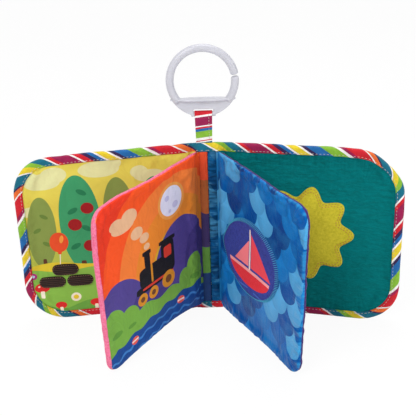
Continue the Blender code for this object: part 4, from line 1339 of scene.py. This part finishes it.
def dress_patches():
    middle = (0.444 * COVER[0], 0.500 * COVER[1])
    sun = patch("sun_applique", RIGHT_COVER, RIGHT_FRONT, middle, sun_outline, FINISH["yellow_felt"], sides=180)
    riding(sun, "right_cover", ("sun_patch",))
    tree = surface(RIGHT_FRONT, sun)
    for number, inset in enumerate((0.0016, 0.0042)):
        path = around(tree, RIGHT_COVER, middle, sun_outline, inset)
        row = stitched(f"sun_stitches_{number + 1}", path, ORANGE_THREAD, 0.0027, 0.0019, 0.00034, closed=True)
        riding(row, "right_cover")

    logs = (0.757 * COVER[0], 0.235 * COVER[1])
    for number, (along, up) in enumerate(((-1, 0), (1, 0), (0, 1)), start=1):
        place = (logs[0] + along * 0.0126, logs[1] + up * 0.0121)
        log = patch(
            f"log_applique_{number}", LEFT_COVER, LEFT_FRONT, place, log_outline, FINISH["corduroy"],
            thick=0.0015, rim=0.002, rings=8,
        )
        riding(log, "left_cover", (f"corduroy_log_{number}",))
        path = around(surface(LEFT_FRONT, log), LEFT_COVER, place, log_outline, 0.0009)
        row = stitched(f"log_stitches_{number}", path, BROWN_THREAD, 0.0022, 0.0014, 0.00022, closed=True)
        riding(row, "left_cover")

    middle = (0.400 * LEAF[0], 0.476 * LEAF[1])
    oval = patch("oval_applique", RIGHT_LEAF, RIGHT_PRINT, middle, oval_outline, FINISH["indigo_felt"], 0.0016, 0.004)
    riding(oval, "right_leaf", ("oval_patch",))
    tree = surface(RIGHT_PRINT, oval)
    path = around(tree, RIGHT_LEAF, middle, oval_outline, 0.0006)
    row = stitched("oval_overcast", path, TURQUOISE_THREAD, 0.0018, 0.0050, 0.00034, math.pi / 2, closed=True)
    riding(row, "right_leaf")


dress_patches()


# Ribbon loop


def dress_loop():
    """One ribbon folded over the ring's bar, its two ends sewn under the spine's top binding."""
    bend, foot, width = 0.0029, 0.0006, 0.015
    length = RING_PIVOT.z - LOOP_CREASE
    start = -0.0050
    reach = math.hypot(length - start, foot)
    tilt = math.asin((bend - foot) / reach)
    path = []
    rise = [start + (length - start) * k / 16 for k in range(16)]
    for z in rise:
        path.append((-foot - (bend - foot) * max(z, 0) / length, z))
    for k in range(15):
        turn = -tilt + (math.pi + 2 * tilt) * k / 14
        path.append((-bend * math.cos(turn), length + bend * math.sin(turn)))
    path += [(-y, z) for y, z in reversed(path[:16])]
    grid, cuts = [], []
    run, last = 0.0, None
    for y, z in path:
        if last:
            run += math.hypot(y - last[0], z - last[1])
        last = (y, z)
        row, cut = [], []
        for k in range(9):
            x = -width / 2 + width * k / 8
            narrow = 0.93 + 0.07 * min(max(z / length, 0), 1)
            free = min(max(z / 0.003, 0), 1) * (z < length - 0.003)
            wave = 0.00025 * noise.noise((x / 0.006, z / 0.007, 4.0 + (y > 0))) * free
            row.append(Vector((RING_PIVOT.x + x * narrow, y + wave, LOOP_CREASE + z)))
            cut.append((x, run))
        grid.append(row)
        cuts.append(cut)
    ribbon = finer(grid_object("hanging_ribbon", grid, cuts), 2)
    even_sided(ribbon.data)
    top = max(ribbon.data.polygons, key=lambda face: face.center.z)
    if top.normal.z < 0:
        ribbon.data.flip_normals()
    walled(ribbon, FINISH["striped_ribbon"], 0.0007)
    riding(ribbon, "spine", ("hanging_loop",), "hanging_loop")
    tree = surface(ribbon)
    for look, label in ((1, "front"), (-1, "behind")):
        heights = steps(LOOP_CREASE + 0.0026, LOOP_CREASE + length - 0.0005, 0.002)
        path = across_path(tree, look, [(RING_PIVOT.x + 0.0045, z) for z in heights])
        row = stitched(f"ribbon_stitches_{label}", path, CREAM_THREAD, 0.0024, 0.0019, 0.00022)
        riding(row, "hanging_loop")


dress_loop()


# Clip ring


def ring_place(x, y, z):
    turned = Matrix.Rotation(-RING_LEAN, 3, "X") @ Vector((x, y, z))
    return RING_PIVOT + turned


def skinned(rings):
    """A closed skin over rings of places, each with as many places as the next."""
    bm = bmesh.new()
    rings = [[bm.verts.new(place) for place in ring] for ring in rings]
    for one, two in zip(rings, rings[1:]):
        for k in range(len(one)):
            after = (k + 1) % len(one)
            bm.faces.new((one[k], one[after], two[after], two[k]))
    bm.faces.new(rings[0])
    bm.faces.new(rings[-1][::-1])
    bmesh.ops.recalc_face_normals(bm, faces=bm.faces[:])
    return bm


def tube_mesh(first, last, round_first, round_last, sides=28):
    """A bent round bar in the ring's own frame, with rounded ends where asked."""
    radius = RING_OUTER - TUBE
    count = max(6, round(abs(last - first) * radius / 0.0011))
    stations = [(first + (last - first) * k / count, 1.0) for k in range(count + 1)]
    way = 1 if last > first else -1
    cap = []
    for k in range(1, 7):
        a = math.pi / 2 * k / 6
        thin = 1 - SOFT_END + SOFT_END * math.cos(a) if k < 6 else 0.02
        cap.append((way * TUBE * SOFT_END * math.sin(a) / radius, thin))
    if round_last:
        stations += [(last + past, thin) for past, thin in cap]
    if round_first:
        stations = [(first - past, thin) for past, thin in reversed(cap)] + stations
    rings = []
    for angle, thin in stations:
        ring = []
        for k in range(sides):
            turn = math.tau * k / sides
            reach = radius + TUBE * thin * math.cos(turn)
            ring.append((reach * math.cos(angle), TUBE * thin * math.sin(turn), RING_UP + reach * math.sin(angle)))
        rings.append(ring)
    return skinned(rings)


def plate_mesh():
    """The base below the arc: a plate notched for the ribbon, under a ledge that is deep at its middle."""
    top, half, notch = 0.0135, 0.0278, 0.0085
    ledge = ((0.0, 1.0), (0.0014, 1.0), (0.0020, 0.35), (0.0032, 0.0))
    rings = []
    for x in sorted(steps(-half, half, 0.0008) + [-notch - 0.00001, -notch, notch, notch + 0.00001]):
        low = 0.0044 if abs(x) <= notch else min(RING_UP - math.sqrt(RING_OUTER**2 - x**2), top - 0.0015)
        deep = 0.0014 + 0.0050 * (1 - (x / half) ** 2)
        thin = min(deep, 0.0020)
        side = [(thin + (deep - thin) * share, max(top - drop, low)) for drop, share in ledge] + [(thin, low)]
        rings.append([(x, -y, z) for y, z in side] + [(x, y, z) for y, z in side[::-1]])
    return skinned(rings)


def ring_piece(name, meshes, voxel, smoothing):
    """Fuses solids into one moulded piece with soft inner corners, and leans it into place."""
    whole = bpy.data.meshes.new(name)
    joined = bmesh.new()
    for bm in meshes:
        part = bpy.data.meshes.new("part")
        bm.to_mesh(part)
        bm.free()
        joined.from_mesh(part)
    joined.to_mesh(whole)
    joined.free()
    piece = linked(name, whole)
    if voxel:
        fused = piece.modifiers.new("fused", "REMESH")
        fused.mode, fused.voxel_size = "VOXEL", voxel
        soft = piece.modifiers.new("soft", "SMOOTH")
        soft.factor, soft.iterations = 0.5, smoothing
        worked_in(piece)
    for vert in piece.data.vertices:
        vert.co = ring_place(*vert.co)
    piece.data.materials.clear()
    piece.data.materials.append(FINISH["white_plastic"])
    piece.data.shade_smooth()
    return piece


def dress_ring():
    tip, stub_foot, arc_foot = (math.radians(turn) for turn in (8, -40, 220))
    half_gap = 0.00075 / (RING_OUTER - TUBE)
    soft = TUBE * SOFT_END / (RING_OUTER - TUBE)
    stub = tube_mesh(stub_foot, tip - half_gap - soft, False, True)
    bar = bmesh.new()
    bmesh.ops.create_cone(bar, cap_ends=True, segments=32, radius1=0.0022, radius2=0.0022, depth=0.021)
    bmesh.ops.rotate(bar, verts=bar.verts[:], matrix=Matrix.Rotation(math.pi / 2, 3, "Y"))
    base = ring_piece("clip_plate", [plate_mesh(), stub, bar], 0.00038, 3)
    riding(base, "ring", ("ring_base",))
    arm = ring_piece("clip_arc", [tube_mesh(tip + half_gap + soft, arc_foot, True, False)], None, 0)
    riding(arm, "ring", ("ring_arm",), "ring_arm")


dress_ring()


# Stage, light and camera


def stage():
    """A white floor that sweeps up behind the book; what sees it directly sees it almost white."""
    mesh = bpy.data.meshes.new("sweep")
    profile = [(-3.0, 0.0), (1.2, 0.0)]
    turns = [math.pi / 2 * k / 12 for k in range(1, 13)]
    profile += [(1.2 + 0.8 * math.sin(a), 0.8 - 0.8 * math.cos(a)) for a in turns]
    profile.append((2.0, 3.5))
    verts = [(x, y, z) for y, z in profile for x in (-4.0, 4.0)]
    mesh.from_pydata(verts, [], [(2 * k, 2 * k + 1, 2 * k + 3, 2 * k + 2) for k in range(len(profile) - 1)])
    mesh.shade_smooth()
    sweep = linked("sweep", mesh)
    f = Finish("paper_sweep", Base_Color=(0.92, 0.92, 0.92, 1), Roughness=0.9, Specular_IOR_Level=0.0)
    rays = f.add("ShaderNodeLightPath").outputs
    seen = f.any_of(*(rays[f"Is {kind} Ray"] for kind in ("Camera", "Glossy", "Transmission")))
    glow = f.add("ShaderNodeEmission").outputs[0]
    blend = f.add("ShaderNodeMixShader", f.sum("MULTIPLY", seen, 0.93), f.shader.outputs[0], glow)
    f.feed(f.tree.nodes["Material Output"].inputs["Surface"], blend.outputs[0])
    mesh.materials.append(f.made)


def lights():
    world = bpy.data.worlds.new("studio")
    bpy.context.scene.world = world
    world.use_nodes = True
    sky = world.node_tree.nodes["Background"]
    sky.inputs["Color"].default_value = (1, 1, 1, 1)
    sky.inputs["Strength"].default_value = 0.42
    for name, place, size, power in (
        ("key", (-0.75, -1.05, 1.25), 0.8, 17.0),
        ("fill", (1.1, -1.0, 0.45), 1.0, 8.5),
        ("top", (0.1, 0.35, 1.4), 0.9, 10.0),
    ):
        lamp = bpy.data.lights.new(name, "AREA")
        lamp.size, lamp.energy = size, power
        spot = linked(name, lamp)
        spot.location = place
        spot.rotation_euler = (Vector((0, 0, 0.09)) - Vector(place)).to_track_quat("-Z", "Y").to_euler()


def camera():
    """The photograph's viewpoint, fitted to the book's corners; the picture is 416 by 416."""
    pitch, roll = math.radians(24.186), math.radians(-1.757)
    focal, distance = 870.541, 0.781384
    aim = Vector((-0.001005, 0, 0.10256))
    forward = Vector((0, math.cos(pitch), -math.sin(pitch)))
    right = Vector((1, 0, 0))
    up = right.cross(forward)
    turned_right = right * math.cos(roll) + up * math.sin(roll)
    turned_up = up * math.cos(roll) - right * math.sin(roll)
    lens = bpy.data.cameras.new("view")
    lens.sensor_width = 36
    lens.lens = focal * 36 / 416
    lens.clip_start, lens.clip_end = 0.05, 20
    view = linked("view", lens)
    turned = Matrix((turned_right, turned_up, -forward)).transposed()
    view.matrix_world = Matrix.Translation(aim - forward * distance) @ turned.to_4x4()
    bpy.context.scene.camera = view


stage()
lights()
camera()
bpy.context.scene.view_settings.view_transform = "Standard"
